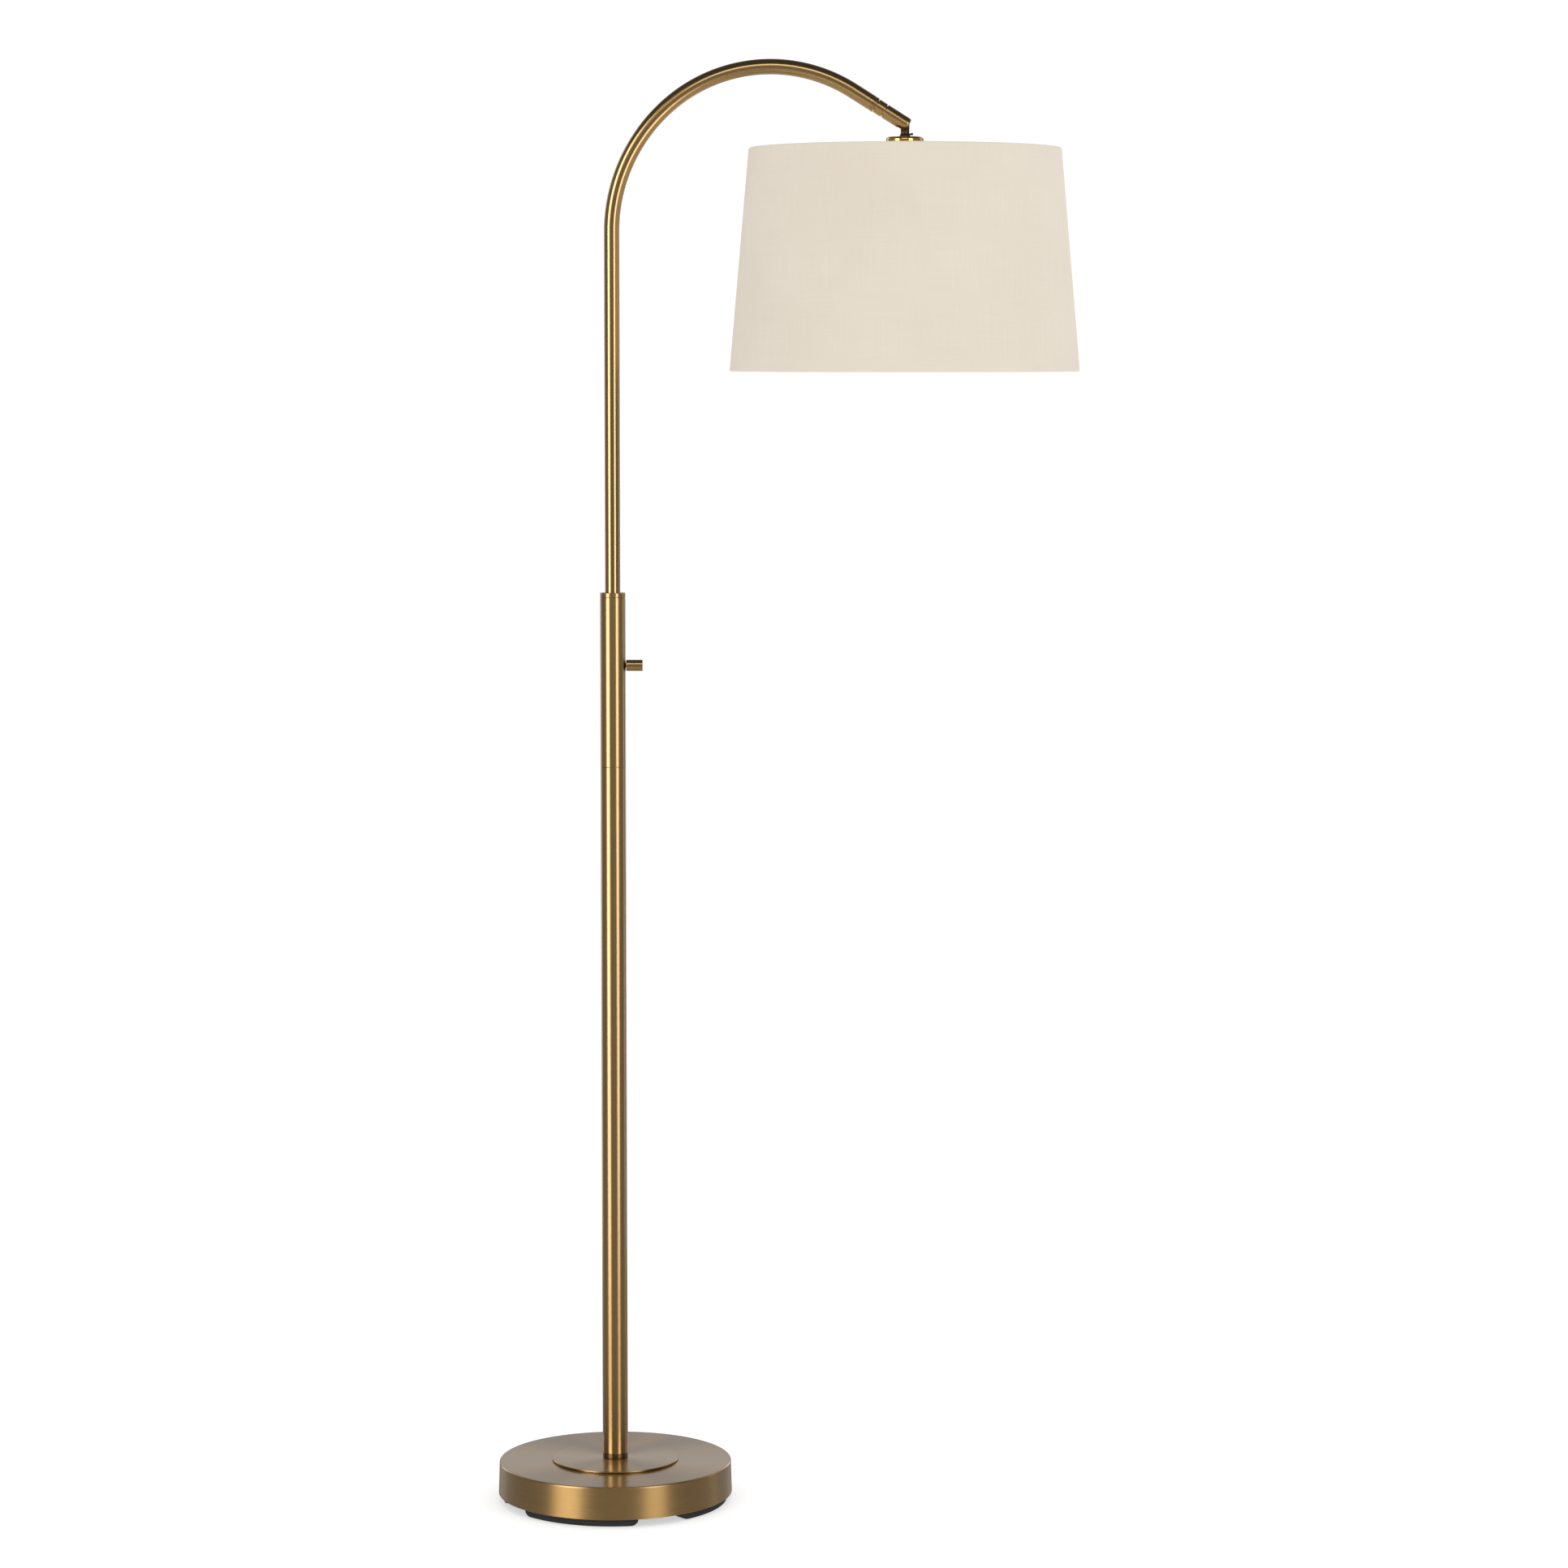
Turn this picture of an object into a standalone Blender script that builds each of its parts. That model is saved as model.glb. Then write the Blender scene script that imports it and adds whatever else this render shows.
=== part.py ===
"""Pharmacy floor lamp: weighted round base, telescopic pole, bent arm and a swivelling drum shade.

Metres, +Z up.  The pole, the arm and the shade stand in the plane Y = 0, with the shade towards +X.
The origin lies on the floor, under the middle of the lamp's overall box.
"""

from math import atan2, cos, pi, radians, sin, tau

import bmesh
import bpy
from mathutils import Matrix, Vector

MM = 0.001

# ---- clearances -----------------------------------------------------------------------------
GAP = 0.3 * MM                     # between faces that touch on the real lamp

# ---- base -----------------------------------------------------------------------------------
PAD_HEIGHT = 9.0 * MM
PAD_RADIUS = 133.4 * MM
PAD_WIDTH = 22.0 * MM
PAD_SPAN = radians(65)
PAD_COUNT = 4
PAD_FIRST_ANGLE = radians(-18.7)   # middle of the first pad, from the front towards the right
PAD_END_SLOPE = 4.5 * MM           # how much shorter a pad is at the floor, at each end

BASE_HEIGHT = 38.3 * MM
BASE_FOOT_RADIUS = 138.6 * MM
BASE_TOP_RADIUS = 137.5 * MM
BASE_EDGE_RADIUS = 2.0 * MM
BASE_WALL = 1.2 * MM

WEIGHT_RADIUS = 135.0 * MM
WEIGHT_RIM = 13.0 * MM             # width of the rim under the weight's web
WEIGHT_WEB = 14.0 * MM
PLATE_RADIUS = 136.7 * MM
PLATE_THICKNESS = 1.5 * MM

DISC_RADIUS = 74.6 * MM
DISC_THICKNESS = 1.5 * MM
DISC_FOOT = 1.0 * MM               # the narrower step under the disc, which shows as a shadow line
DISC_STEP = 3.4 * MM

ROD_RADIUS = 4.95 * MM             # M10 lamp pipe
ROD_BORE = 3.5 * MM
ROD_BELOW_WEB = 12.0 * MM
ROD_ABOVE_FOOT = 34.0 * MM
CLEAR_BORE = 5.3 * MM              # every hole that the M10 pipe passes through
WASHER_RADIUS = 14.0 * MM
WASHER_THICKNESS = 1.8 * MM
ROD_NUT_FLATS = 17.0 * MM
ROD_NUT_HEIGHT = 7.0 * MM

SCREW_RADIUS = 1.9 * MM
SCREW_HEAD_RADIUS = 3.4 * MM
SCREW_HEAD = 1.9 * MM
SCREW_LENGTH = 11.5 * MM
SCREW_HOLE_RADIUS = 2.2 * MM
SCREW_HOLE_DEPTH = 13.0 * MM

GLAND_HEIGHT = 20.0 * MM           # of the gland's axis, above the floor
GLAND_BORE = 3.6 * MM
GLAND_RADIUS = 6.0 * MM
GLAND_LENGTH = 18.0 * MM           # inwards from the cover's face
GLAND_FLANGE_RADIUS = 8.5 * MM
GLAND_FLANGE = 2.2 * MM

# ---- pole and clamp -------------------------------------------------------------------------
POLE_RADIUS = 15.0 * MM
POLE_WALL = 1.5 * MM
FOOT_COLLAR = 5.3 * MM
FOOT_SPIGOT = 22.0 * MM            # inside the lower pole
SEAM_Z = 875.0 * MM                # where the clamp sleeve meets the lower pole
SLEEVE_TOP_Z = 1079.4 * MM
BUSH_COLLAR = 4.8 * MM
BUSH_LENGTH = 104.0 * MM
COUPLING_LENGTH = 60.0 * MM
COUPLING_CLEAR = 0.5 * MM          # round the arm tube
CLAMP_Z = 994.0 * MM
CLAMP_SCREW_RADIUS = 3.0 * MM      # M6
CLAMP_SCREW_TIP = 2.4 * MM
CLAMP_PAD_RADIUS = 2.9 * MM
CLAMP_PAD_LENGTH = 3.0 * MM
KNOB_DEPTH = 10.0 * MM             # how far the screw reaches into the knob
KNOB_RADIUS = 6.7 * MM
KNOB_START = 17.1 * MM             # from the pole's axis
KNOB_END = 34.8 * MM

# ---- arm ------------------------------------------------------------------------------------
TUBE_RADIUS = 9.0 * MM
TUBE_WALL = 1.2 * MM
TUBE_BOTTOM_Z = 785.0 * MM
BEND_Z = 1500.0 * MM               # where the tube leaves the vertical
BEND_LOW_RADIUS = 193.4 * MM
BEND_LOW_ANGLE = radians(51.6)
BEND_HIGH_RADIUS = 179.5 * MM
ARM_DROP = radians(32.3)           # slope of the arm's straight end, below the horizontal
ARM_END_STRAIGHT = 31.6 * MM
PISTON_LENGTH = 20.0 * MM
PISTON_BORE = 4.0 * MM
PISTON_SPIGOT = 15.0 * MM          # inside the arm tube

# ---- arm end, measured from the end of the arm along its axis --------------------------------
FERRULE_LENGTH = 4.4 * MM
FERRULE_RADIUS = 9.15 * MM
FERRULE_SPIGOT = 18.0 * MM         # inside the arm tube
FERRULE_GROOVES = (-3.0 * MM, -1.2 * MM)
FERRULE_GROOVE_DEPTH = 0.35 * MM
COLLAR_END = 11.8 * MM
SWIVEL_START = 12.3 * MM
PIN_AT = 40.05 * MM
SWIVEL_END = 44.5 * MM
SWIVEL_RADIUS = 8.5 * MM
SWIVEL_EDGE = 2.6 * MM
SWIVEL_WEB = 3.7 * MM
STUD_RADIUS = 3.4 * MM
STUD_BORE = 2.0 * MM
STUD_START = -15.0 * MM
STUD_HEAD_RADIUS = 4.2 * MM
STUD_HEAD = 2.4 * MM
STUD_WASHER_RADIUS = 4.3 * MM
STUD_WASHER = 0.6 * MM
SLOT_HALF = 4.4 * MM
SLOT_REACH = 12.0 * MM             # past the swivel body's side
PIN_RADIUS = 1.5 * MM
PIN_START = -6.6 * MM
PIN_END = 8.2 * MM
TILT_WASHER_RADIUS = 4.2 * MM

# ---- tang and shade, measured down from the tilt pin -----------------------------------------
TANG_HALF_WIDTH = 5.0 * MM
TANG_HALF_THICKNESS = 3.3 * MM
TANG_FLAT_END = 9.4 * MM
TANG_FOOT = 14.2 * MM
TANG_FOOT_RADIUS = 6.6 * MM
TANG_BORE = 3.3 * MM
TANG_BORE_DEPTH = 4.2 * MM
TANG_SCREW_HEIGHT = 2.4 * MM       # of the set screw, above the tang's foot
TANG_SCREW_RADIUS = 0.95 * MM
TANG_SCREW_HEAD = 1.35 * MM
TANG_SCREW_HOLE = 1.25 * MM
CAP_RADIUS = 22.0 * MM
CAP_TOP = 14.5 * MM
CAP_BOTTOM = 20.5 * MM
CAP_WALL = 1.0 * MM
CAP_SHOULDER = 3.4 * MM
CAP_SHOULDER_DROP = 3.8 * MM       # centre of the rounded shoulder, below the cap's top
HUB_TOP = 20.8 * MM
HUB_RADIUS = 14.0 * MM
HUB_THICKNESS = 2.0 * MM
HUB_NUT_FLATS = 14.0 * MM
HUB_NUT_HEIGHT = 4.0 * MM
NIPPLE_END = 46.0 * MM
NIPPLE_BORE = 2.0 * MM
NIPPLE_NECK = 3.0 * MM

SHADE_TOP = 27.8 * MM
SHADE_HEIGHT = 258.9 * MM
SHADE_TOP_RADIUS = 181.8 * MM
SHADE_FOOT_RADIUS = 204.2 * MM
FABRIC_WALL = 0.7 * MM
LINER_WALL = 1.0 * MM
LIP_WIDTH = 5.0 * MM
WIRE_RADIUS = 1.3 * MM
SPOKE_RADIUS = 1.5 * MM
SPOKE_COUNT = 3

SOCKET_TOP = 30.0 * MM
SOCKET_RADIUS = 17.6 * MM
SOCKET_LENGTH = 62.0 * MM
SOCKET_WALL = 0.8 * MM
SOCKET_NECK_RADIUS = 7.6 * MM
SOCKET_SKIRT = 28.0 * MM           # depth of the cap's straight side, from its top
SHELL_START = 17.0 * MM            # top of the shell, from the cap's top
WELL_RADIUS = 13.7 * MM            # opening of the porcelain for the bulb's cap
WELL_DEPTH = 19.0 * MM
KEY_DROP = 64.0 * MM
KEY_START = 6.5 * MM
KEY_END = 33.0 * MM
KEY_SHAFT_RADIUS = 1.8 * MM
KEY_RADIUS = 5.2 * MM
BULB_CAP_RADIUS = 13.1 * MM
BULB_WALL = 0.8 * MM
BULB_LIP = 3.0 * MM                # straight part of the glass, under its neck
BULB_SHOULDER = radians(40)
BULB_RADIUS = 30.0 * MM
BULB_NECK_TOP = 98.0 * MM
BULB_BOTTOM = 178.0 * MM

# ---- places that follow from the sizes above -------------------------------------------------
BASE_Z = PAD_HEIGHT + GAP
BASE_TOP_Z = BASE_Z + BASE_HEIGHT
DISC_Z = BASE_TOP_Z + GAP
DISC_TOP_Z = DISC_Z + DISC_FOOT + DISC_THICKNESS
COLLAR_TOP_Z = DISC_TOP_Z + GAP + FOOT_COLLAR
POLE_BORE = POLE_RADIUS - POLE_WALL
TUBE_BORE = TUBE_RADIUS - TUBE_WALL
ALONG_X = (0, radians(90), 0)      # turns local Z to +X
ALONG_Y = (radians(-90), 0, 0)     # turns local Z to +Y

# ---- finishes: colour, metallic, roughness ---------------------------------------------------
ANTIQUE_BRASS = ((0.36, 0.25, 0.12), 1.0, 0.30)
POLISHED_BRASS = ((0.68, 0.46, 0.17), 1.0, 0.16)
DARK_BRONZE = ((0.09, 0.07, 0.045), 1.0, 0.38)
PLAIN_BRASS = ((0.62, 0.47, 0.22), 1.0, 0.30)
ZINC_STEEL = ((0.55, 0.56, 0.57), 1.0, 0.35)
CAST_IRON = ((0.05, 0.05, 0.05), 0.6, 0.70)
BLACK_STEEL = ((0.03, 0.03, 0.03), 0.2, 0.55)
BLACK_FOAM = ((0.02, 0.019, 0.018), 0.0, 0.85)
BLACK_PLASTIC = ((0.02, 0.02, 0.02), 0.0, 0.45)
PALE_NYLON = ((0.78, 0.76, 0.70), 0.0, 0.50)
WHITE_WIRE = ((0.80, 0.79, 0.76), 0.0, 0.40)
STYRENE = ((0.85, 0.83, 0.78), 0.0, 0.55)
LINEN = ((0.77, 0.71, 0.61), 0.0, 0.90)
PORCELAIN = ((0.82, 0.81, 0.78), 0.0, 0.25)
OPAL_GLASS = ((0.90, 0.89, 0.86), 0.0, 0.20)


# ---- tools ----------------------------------------------------------------------------------
def clear_scene():
    """Empties the file that the script runs in."""
    for thing in list(bpy.data.objects):
        bpy.data.objects.remove(thing, do_unlink=True)


def finish_material(name, finish):
    """A Principled BSDF with one part's colour, metallic and roughness."""
    colour, metallic, roughness = finish
    material = bpy.data.materials.new(name + "_finish")
    material.use_nodes = True
    shader = material.node_tree.nodes["Principled BSDF"]
    shader.inputs["Base Color"].default_value = (*colour, 1.0)
    shader.inputs["Metallic"].default_value = metallic
    shader.inputs["Roughness"].default_value = roughness
    return material


def empty(name, location=(0, 0, 0), rotation=(0, 0, 0), parent=None):
    """A frame that pieces hang from; a joint's axis passes through it."""
    frame = bpy.data.objects.new(name, None)
    bpy.context.collection.objects.link(frame)
    frame.parent = parent
    frame.location = location
    frame.rotation_euler = rotation
    return frame


def add_piece(name, bm, finish, parent, location=(0, 0, 0), rotation=(0, 0, 0), smooth=True):
    """One closed solid, as a named object under its parent."""
    bmesh.ops.recalc_face_normals(bm, faces=bm.faces)
    mesh = bpy.data.meshes.new(name)
    bm.to_mesh(mesh)
    bm.free()
    if smooth:
        mesh.shade_smooth()
        mesh.set_sharp_from_angle(angle=radians(35))
    piece = bpy.data.objects.new(name, mesh)
    bpy.context.collection.objects.link(piece)
    mesh.materials.append(finish_material(name, finish))
    piece.parent = parent
    piece.location = location
    piece.rotation_euler = rotation
    return piece


def turned(outline, segments=24):
    """A solid turned about local Z from (radius, z) points.

    A closed outline makes a ring; one that starts and ends on the axis makes a solid.
    """
    bm = bmesh.new()
    rings = []
    for radius, z in outline:
        if radius == 0:
            rings.append([bm.verts.new((0, 0, z))] * segments)
            continue
        angles = [tau * index / segments for index in range(segments)]
        rings.append([bm.verts.new((radius * cos(angle), radius * sin(angle), z)) for angle in angles])
    pairs = list(zip(rings, rings[1:]))
    if outline[0][0] > 0:
        pairs.append((rings[-1], rings[0]))
    for lower, upper in pairs:
        for index in range(segments):
            after = (index + 1) % segments
            corners = (lower[index], lower[after], upper[after], upper[index])
            bm.faces.new(list(dict.fromkeys(corners)))
    return bm


def closed_turned(outline, segments):
    """A turned solid whose outline touches the axis along one stretch in its middle."""
    on_axis = [index for index, point in enumerate(outline) if point[0] == 0]
    first = on_axis[-1]
    return turned(outline[first:] + outline[:first], segments)


def pipe(radius, bore, low, high, segments=24):
    """A plain tube along local Z."""
    return turned([(bore, low), (radius, low), (radius, high), (bore, high)], segments)


def arc_points(centre, radius, start, end, steps):
    """(radius, z) points on an arc, angles from the outward direction towards +Z."""
    points = []
    for step in range(steps + 1):
        angle = start + (end - start) * step / steps
        points.append((centre[0] + radius * cos(angle), centre[1] + radius * sin(angle)))
    return points


def ring_faces(bm, loops, close_ends=False):
    """Joins equal vertex loops by quads, the last one back to the first unless the ends are closed."""
    pairs = list(zip(loops, loops[1:]))
    if not close_ends:
        pairs.append((loops[-1], loops[0]))
    for lower, upper in pairs:
        count = len(lower)
        for index in range(count):
            after = (index + 1) % count
            bm.faces.new((lower[index], lower[after], upper[after], upper[index]))
    if close_ends:
        bm.faces.new(loops[0])
        bm.faces.new(loops[-1])


def block(low, high):
    """A box between two corners."""
    bm = bmesh.new()
    bmesh.ops.create_cube(bm, size=1.0)
    size = Vector(high) - Vector(low)
    middle = (Vector(high) + Vector(low)) / 2
    place = Matrix.Translation(middle) @ Matrix.Diagonal((*size, 1))
    bmesh.ops.transform(bm, matrix=place, verts=bm.verts)
    return bm


def boolean(piece, tool_bm, name, operation="DIFFERENCE", rotation=(0, 0, 0), location=(0, 0, 0)):
    """Cuts a tool out of a piece, or joins it on.  The tool is placed in the piece's own frame."""
    tool = add_piece(name, tool_bm, BLACK_STEEL, piece, location, rotation, smooth=False)
    tool.hide_render = True
    tool.display_type = "WIRE"
    modifier = piece.modifiers.new(name, "BOOLEAN")
    modifier.operation = operation
    modifier.solver = "EXACT"
    modifier.object = tool


def drill(piece, name, radius, low, high, rotation=(0, 0, 0), location=(0, 0, 0), segments=16):
    """A round hole; low and high are measured along the hole from its location."""
    cutter = turned([(0, low), (radius, low), (radius, high), (0, high)], segments)
    boolean(piece, cutter, name, rotation=rotation, location=location)


def hex_nut(across_flats, bore, low, high, segments=18):
    """A hexagonal nut along local Z with a round bore."""
    bm = bmesh.new()

    def loop(radius_at, z):
        points = []
        for index in range(segments):
            angle = tau * index / segments
            radius = radius_at(angle)
            points.append(bm.verts.new((radius * cos(angle), radius * sin(angle), z)))
        return points

    def flat(angle):
        return across_flats / 2 / cos(angle % radians(60) - radians(30))

    def round_bore(_):
        return bore

    loops = [loop(round_bore, low), loop(flat, low), loop(flat, high), loop(round_bore, high)]
    ring_faces(bm, loops)
    return bm


# ---- base -----------------------------------------------------------------------------------
def base_shell_outline():
    """Spun steel cover: slightly wider at its foot, with a rounded top edge."""
    inner_edge = BASE_TOP_RADIUS - BASE_WALL
    ceiling = BASE_TOP_Z - BASE_WALL
    edge_centre = (BASE_TOP_RADIUS - BASE_EDGE_RADIUS, BASE_TOP_Z - BASE_EDGE_RADIUS)
    outline = [(CLEAR_BORE, ceiling), (inner_edge - MM, ceiling), (inner_edge, ceiling - MM)]
    outline += [(BASE_FOOT_RADIUS - BASE_WALL, BASE_Z), (BASE_FOOT_RADIUS, BASE_Z)]
    outline += arc_points(edge_centre, BASE_EDGE_RADIUS, 0, radians(90), 4)
    outline += [(CLEAR_BORE, BASE_TOP_Z)]
    return outline


def weight_outline():
    """Iron casting: a thick web under the cover, with a rim down to the bottom plate."""
    top = BASE_TOP_Z - BASE_WALL - GAP
    floor = BASE_Z + PLATE_THICKNESS + GAP
    chamfer = 2 * MM
    return [
        (CLEAR_BORE, top - WEIGHT_WEB),
        (WEIGHT_RADIUS - WEIGHT_RIM, top - WEIGHT_WEB),
        (WEIGHT_RADIUS - WEIGHT_RIM, floor),
        (WEIGHT_RADIUS, floor),
        (WEIGHT_RADIUS, top - chamfer),
        (WEIGHT_RADIUS - chamfer, top),
        (CLEAR_BORE, top),
    ]


def pad_mesh(steps=10):
    """One arc-shaped foot, centred on the front (-Y), narrower at the floor than at the top."""
    bm = bmesh.new()
    side_slope = 1.2 * MM
    inner = PAD_RADIUS - PAD_WIDTH
    levels = [
        (0.0, side_slope, PAD_END_SLOPE / PAD_RADIUS),
        (PAD_END_SLOPE, 0.0, 0.0),
        (PAD_HEIGHT, 0.0, 0.0),
    ]
    loops = []
    for z, side, end in levels:
        half = PAD_SPAN / 2 - end
        angles = [-half + 2 * half * step / steps for step in range(steps + 1)]
        outer = [((PAD_RADIUS - side) * sin(a), -(PAD_RADIUS - side) * cos(a), z) for a in angles]
        back = [((inner + side) * sin(a), -(inner + side) * cos(a), z) for a in reversed(angles)]
        loops.append([bm.verts.new(point) for point in outer + back])
    ring_faces(bm, loops, close_ends=True)
    return bm


def front_angle_place(radius, angle, z):
    """A point at a radius and at an angle from the front (-Y) towards the right (+X)."""
    return (radius * sin(angle), -radius * cos(angle), z)


def build_base(stand):
    shell = add_piece("base_shell", turned(base_shell_outline(), 64), ANTIQUE_BRASS, stand)
    gland_in = BASE_FOOT_RADIUS - GLAND_LENGTH - MM
    gland_out = BASE_FOOT_RADIUS + 10 * MM
    shell_hole = GLAND_RADIUS + 0.4 * MM
    weight_hole = GLAND_RADIUS + 0.6 * MM
    drill(shell, "shell_gland_hole", shell_hole, gland_in, gland_out, ALONG_Y, (0, 0, GLAND_HEIGHT))

    weight = add_piece("base_weight", turned(weight_outline(), 40), CAST_IRON, stand)
    drill(weight, "weight_gland_hole", weight_hole, gland_in, gland_out, ALONG_Y, (0, 0, GLAND_HEIGHT))

    plate_top = BASE_Z + PLATE_THICKNESS
    plate_bm = turned([(0, BASE_Z), (PLATE_RADIUS, BASE_Z), (PLATE_RADIUS, plate_top), (0, plate_top)], 40)
    plate = add_piece("bottom_plate", plate_bm, BLACK_STEEL, stand)
    screw_circle = WEIGHT_RADIUS - WEIGHT_RIM / 2
    for index in range(PAD_COUNT):
        pad_angle = PAD_FIRST_ANGLE + index * tau / PAD_COUNT
        add_piece(f"base_pad_{index + 1}", pad_mesh(), BLACK_FOAM, stand, rotation=(0, 0, pad_angle))
        gap_angle = pad_angle + pi / PAD_COUNT
        place = front_angle_place(screw_circle, gap_angle, BASE_Z)
        hole = SCREW_HOLE_RADIUS
        drill(weight, f"weight_screw_hole_{index + 1}", hole, 0, SCREW_HOLE_DEPTH, location=place)
        drill(plate, f"plate_screw_hole_{index + 1}", hole, -MM, 2 * PLATE_THICKNESS, location=place)
        add_piece(f"plate_screw_{index + 1}", plate_screw(), ZINC_STEEL, stand, location=place)

    add_piece("cord_gland", cord_gland(), BLACK_PLASTIC, stand, (0, 0, GLAND_HEIGHT), ALONG_Y)
    add_piece("base_disc", turned(disc_outline(), 40), ANTIQUE_BRASS, stand)


def plate_screw():
    """Pan-head screw, head down, its head just under local z = 0."""
    seat = -GAP
    crown = seat - SCREW_HEAD
    return turned([
        (0, crown),
        (SCREW_HEAD_RADIUS - MM, crown),
        (SCREW_HEAD_RADIUS, seat - MM),
        (SCREW_HEAD_RADIUS, seat),
        (SCREW_RADIUS, seat),
        (SCREW_RADIUS, SCREW_LENGTH - 1.5 * MM),
        (SCREW_RADIUS - 0.9 * MM, SCREW_LENGTH),
        (0, SCREW_LENGTH),
    ], 16)


def cord_gland():
    """Bushing through the back of the base, its bore open for the supply cord."""
    flange = BASE_FOOT_RADIUS + 0.6 * MM
    inside = BASE_FOOT_RADIUS - GLAND_LENGTH
    face = flange + GLAND_FLANGE
    lead_in = 0.6 * MM
    return turned([
        (GLAND_BORE, inside),
        (GLAND_RADIUS, inside),
        (GLAND_RADIUS, flange),
        (GLAND_FLANGE_RADIUS, flange),
        (GLAND_FLANGE_RADIUS, face - 1.0 * MM),
        (GLAND_FLANGE_RADIUS - 1.1 * MM, face),
        (GLAND_BORE + lead_in, face),
        (GLAND_BORE, face - lead_in),
    ], 16)


def disc_outline():
    """Flat round plate on a slightly smaller step."""
    edge = 0.3 * MM
    return [
        (CLEAR_BORE, DISC_Z),
        (DISC_RADIUS - DISC_STEP, DISC_Z),
        (DISC_RADIUS - DISC_STEP, DISC_Z + DISC_FOOT),
        (DISC_RADIUS - edge, DISC_Z + DISC_FOOT),
        (DISC_RADIUS, DISC_Z + DISC_FOOT + edge),
        (DISC_RADIUS, DISC_TOP_Z - edge),
        (DISC_RADIUS - edge, DISC_TOP_Z),
        (CLEAR_BORE, DISC_TOP_Z),
    ]


# ---- pole -----------------------------------------------------------------------------------
def build_pole(stand):
    collar_low = DISC_TOP_Z + GAP
    spigot = POLE_BORE - GAP
    foot = [
        (CLEAR_BORE, collar_low),
        (POLE_RADIUS - 0.4 * MM, collar_low),
        (POLE_RADIUS, collar_low + 0.4 * MM),
        (POLE_RADIUS, COLLAR_TOP_Z - 0.6 * MM),
        (POLE_RADIUS - 0.6 * MM, COLLAR_TOP_Z),
        (spigot, COLLAR_TOP_Z),
        (spigot, COLLAR_TOP_Z + FOOT_SPIGOT),
        (CLEAR_BORE, COLLAR_TOP_Z + FOOT_SPIGOT),
    ]
    add_piece("pole_foot", turned(foot), DARK_BRONZE, stand)

    web_under = BASE_TOP_Z - BASE_WALL - GAP - WEIGHT_WEB
    rod = pipe(ROD_RADIUS, ROD_BORE, web_under - ROD_BELOW_WEB, COLLAR_TOP_Z + ROD_ABOVE_FOOT, 16)
    add_piece("stand_rod", rod, ZINC_STEEL, stand)
    washer_low = web_under - GAP - WASHER_THICKNESS
    washer = pipe(WASHER_RADIUS, CLEAR_BORE, washer_low, web_under - GAP, 16)
    add_piece("rod_washer", washer, ZINC_STEEL, stand)
    nut_top = washer_low - GAP
    nut = hex_nut(ROD_NUT_FLATS, CLEAR_BORE, nut_top - ROD_NUT_HEIGHT, nut_top)
    add_piece("rod_nut", nut, ZINC_STEEL, stand, smooth=False)

    pole = pipe(POLE_RADIUS, POLE_BORE, COLLAR_TOP_Z + GAP, SEAM_Z, 32)
    add_piece("lower_pole", pole, ANTIQUE_BRASS, stand)
    coupling_bore = TUBE_RADIUS + COUPLING_CLEAR
    coupling_low = SEAM_Z - COUPLING_LENGTH / 2
    coupling = pipe(POLE_BORE - GAP, coupling_bore, coupling_low, coupling_low + COUPLING_LENGTH)
    add_piece("pole_coupling", coupling, ZINC_STEEL, stand)

    collar_z = SLEEVE_TOP_Z - BUSH_COLLAR
    sleeve_bm = pipe(POLE_RADIUS, POLE_BORE, SEAM_Z + GAP, collar_z - GAP, 32)
    sleeve = add_piece("clamp_sleeve", sleeve_bm, ANTIQUE_BRASS, stand)
    bush_bore = TUBE_RADIUS + GAP
    chamfer = 0.5 * MM
    bush_outline = [
        (bush_bore, collar_z - BUSH_LENGTH),
        (POLE_BORE - GAP, collar_z - BUSH_LENGTH),
        (POLE_BORE - GAP, collar_z),
        (POLE_RADIUS, collar_z),
        (POLE_RADIUS, SLEEVE_TOP_Z - chamfer),
        (POLE_RADIUS - chamfer, SLEEVE_TOP_Z),
        (bush_bore, SLEEVE_TOP_Z),
    ]
    bush = add_piece("sleeve_bush", turned(bush_outline, 32), ANTIQUE_BRASS, stand)
    hole = CLAMP_SCREW_RADIUS + GAP
    for piece in (sleeve, bush):
        drill(piece, piece.name + "_screw_hole", hole, 5 * MM, 20 * MM, ALONG_X, (0, 0, CLAMP_Z))


def build_clamp(clamp):
    """The pad, its screw and the knob, along the clamp frame's local Z, which points to +X."""
    pad_start = TUBE_RADIUS + GAP
    pad_end = pad_start + CLAMP_PAD_LENGTH
    pad_edge = 0.4 * MM
    pad = turned([
        (0, pad_start),
        (CLAMP_PAD_RADIUS - pad_edge, pad_start),
        (CLAMP_PAD_RADIUS, pad_start + pad_edge),
        (CLAMP_PAD_RADIUS, pad_end),
        (0, pad_end),
    ], 16)
    add_piece("clamp_pad", pad, PALE_NYLON, clamp)

    screw_end = KNOB_START + KNOB_DEPTH
    tip = pad_end + GAP
    screw = turned([
        (0, tip),
        (CLAMP_SCREW_TIP, tip),
        (CLAMP_SCREW_RADIUS, tip + 0.6 * MM),
        (CLAMP_SCREW_RADIUS, screw_end),
        (0, screw_end),
    ], 20)
    add_piece("clamp_screw", screw, DARK_BRONZE, clamp)

    bore = CLAMP_SCREW_RADIUS + GAP
    chamfer = 0.5 * MM
    knob = turned([
        (0, screw_end + GAP),
        (bore, screw_end + GAP),
        (bore, KNOB_START),
        (KNOB_RADIUS - chamfer, KNOB_START),
        (KNOB_RADIUS, KNOB_START + chamfer),
        (KNOB_RADIUS, KNOB_END - chamfer),
        (KNOB_RADIUS - chamfer, KNOB_END),
        (0, KNOB_END),
    ])
    add_piece("clamp_knob", knob, ANTIQUE_BRASS, clamp)


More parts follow.
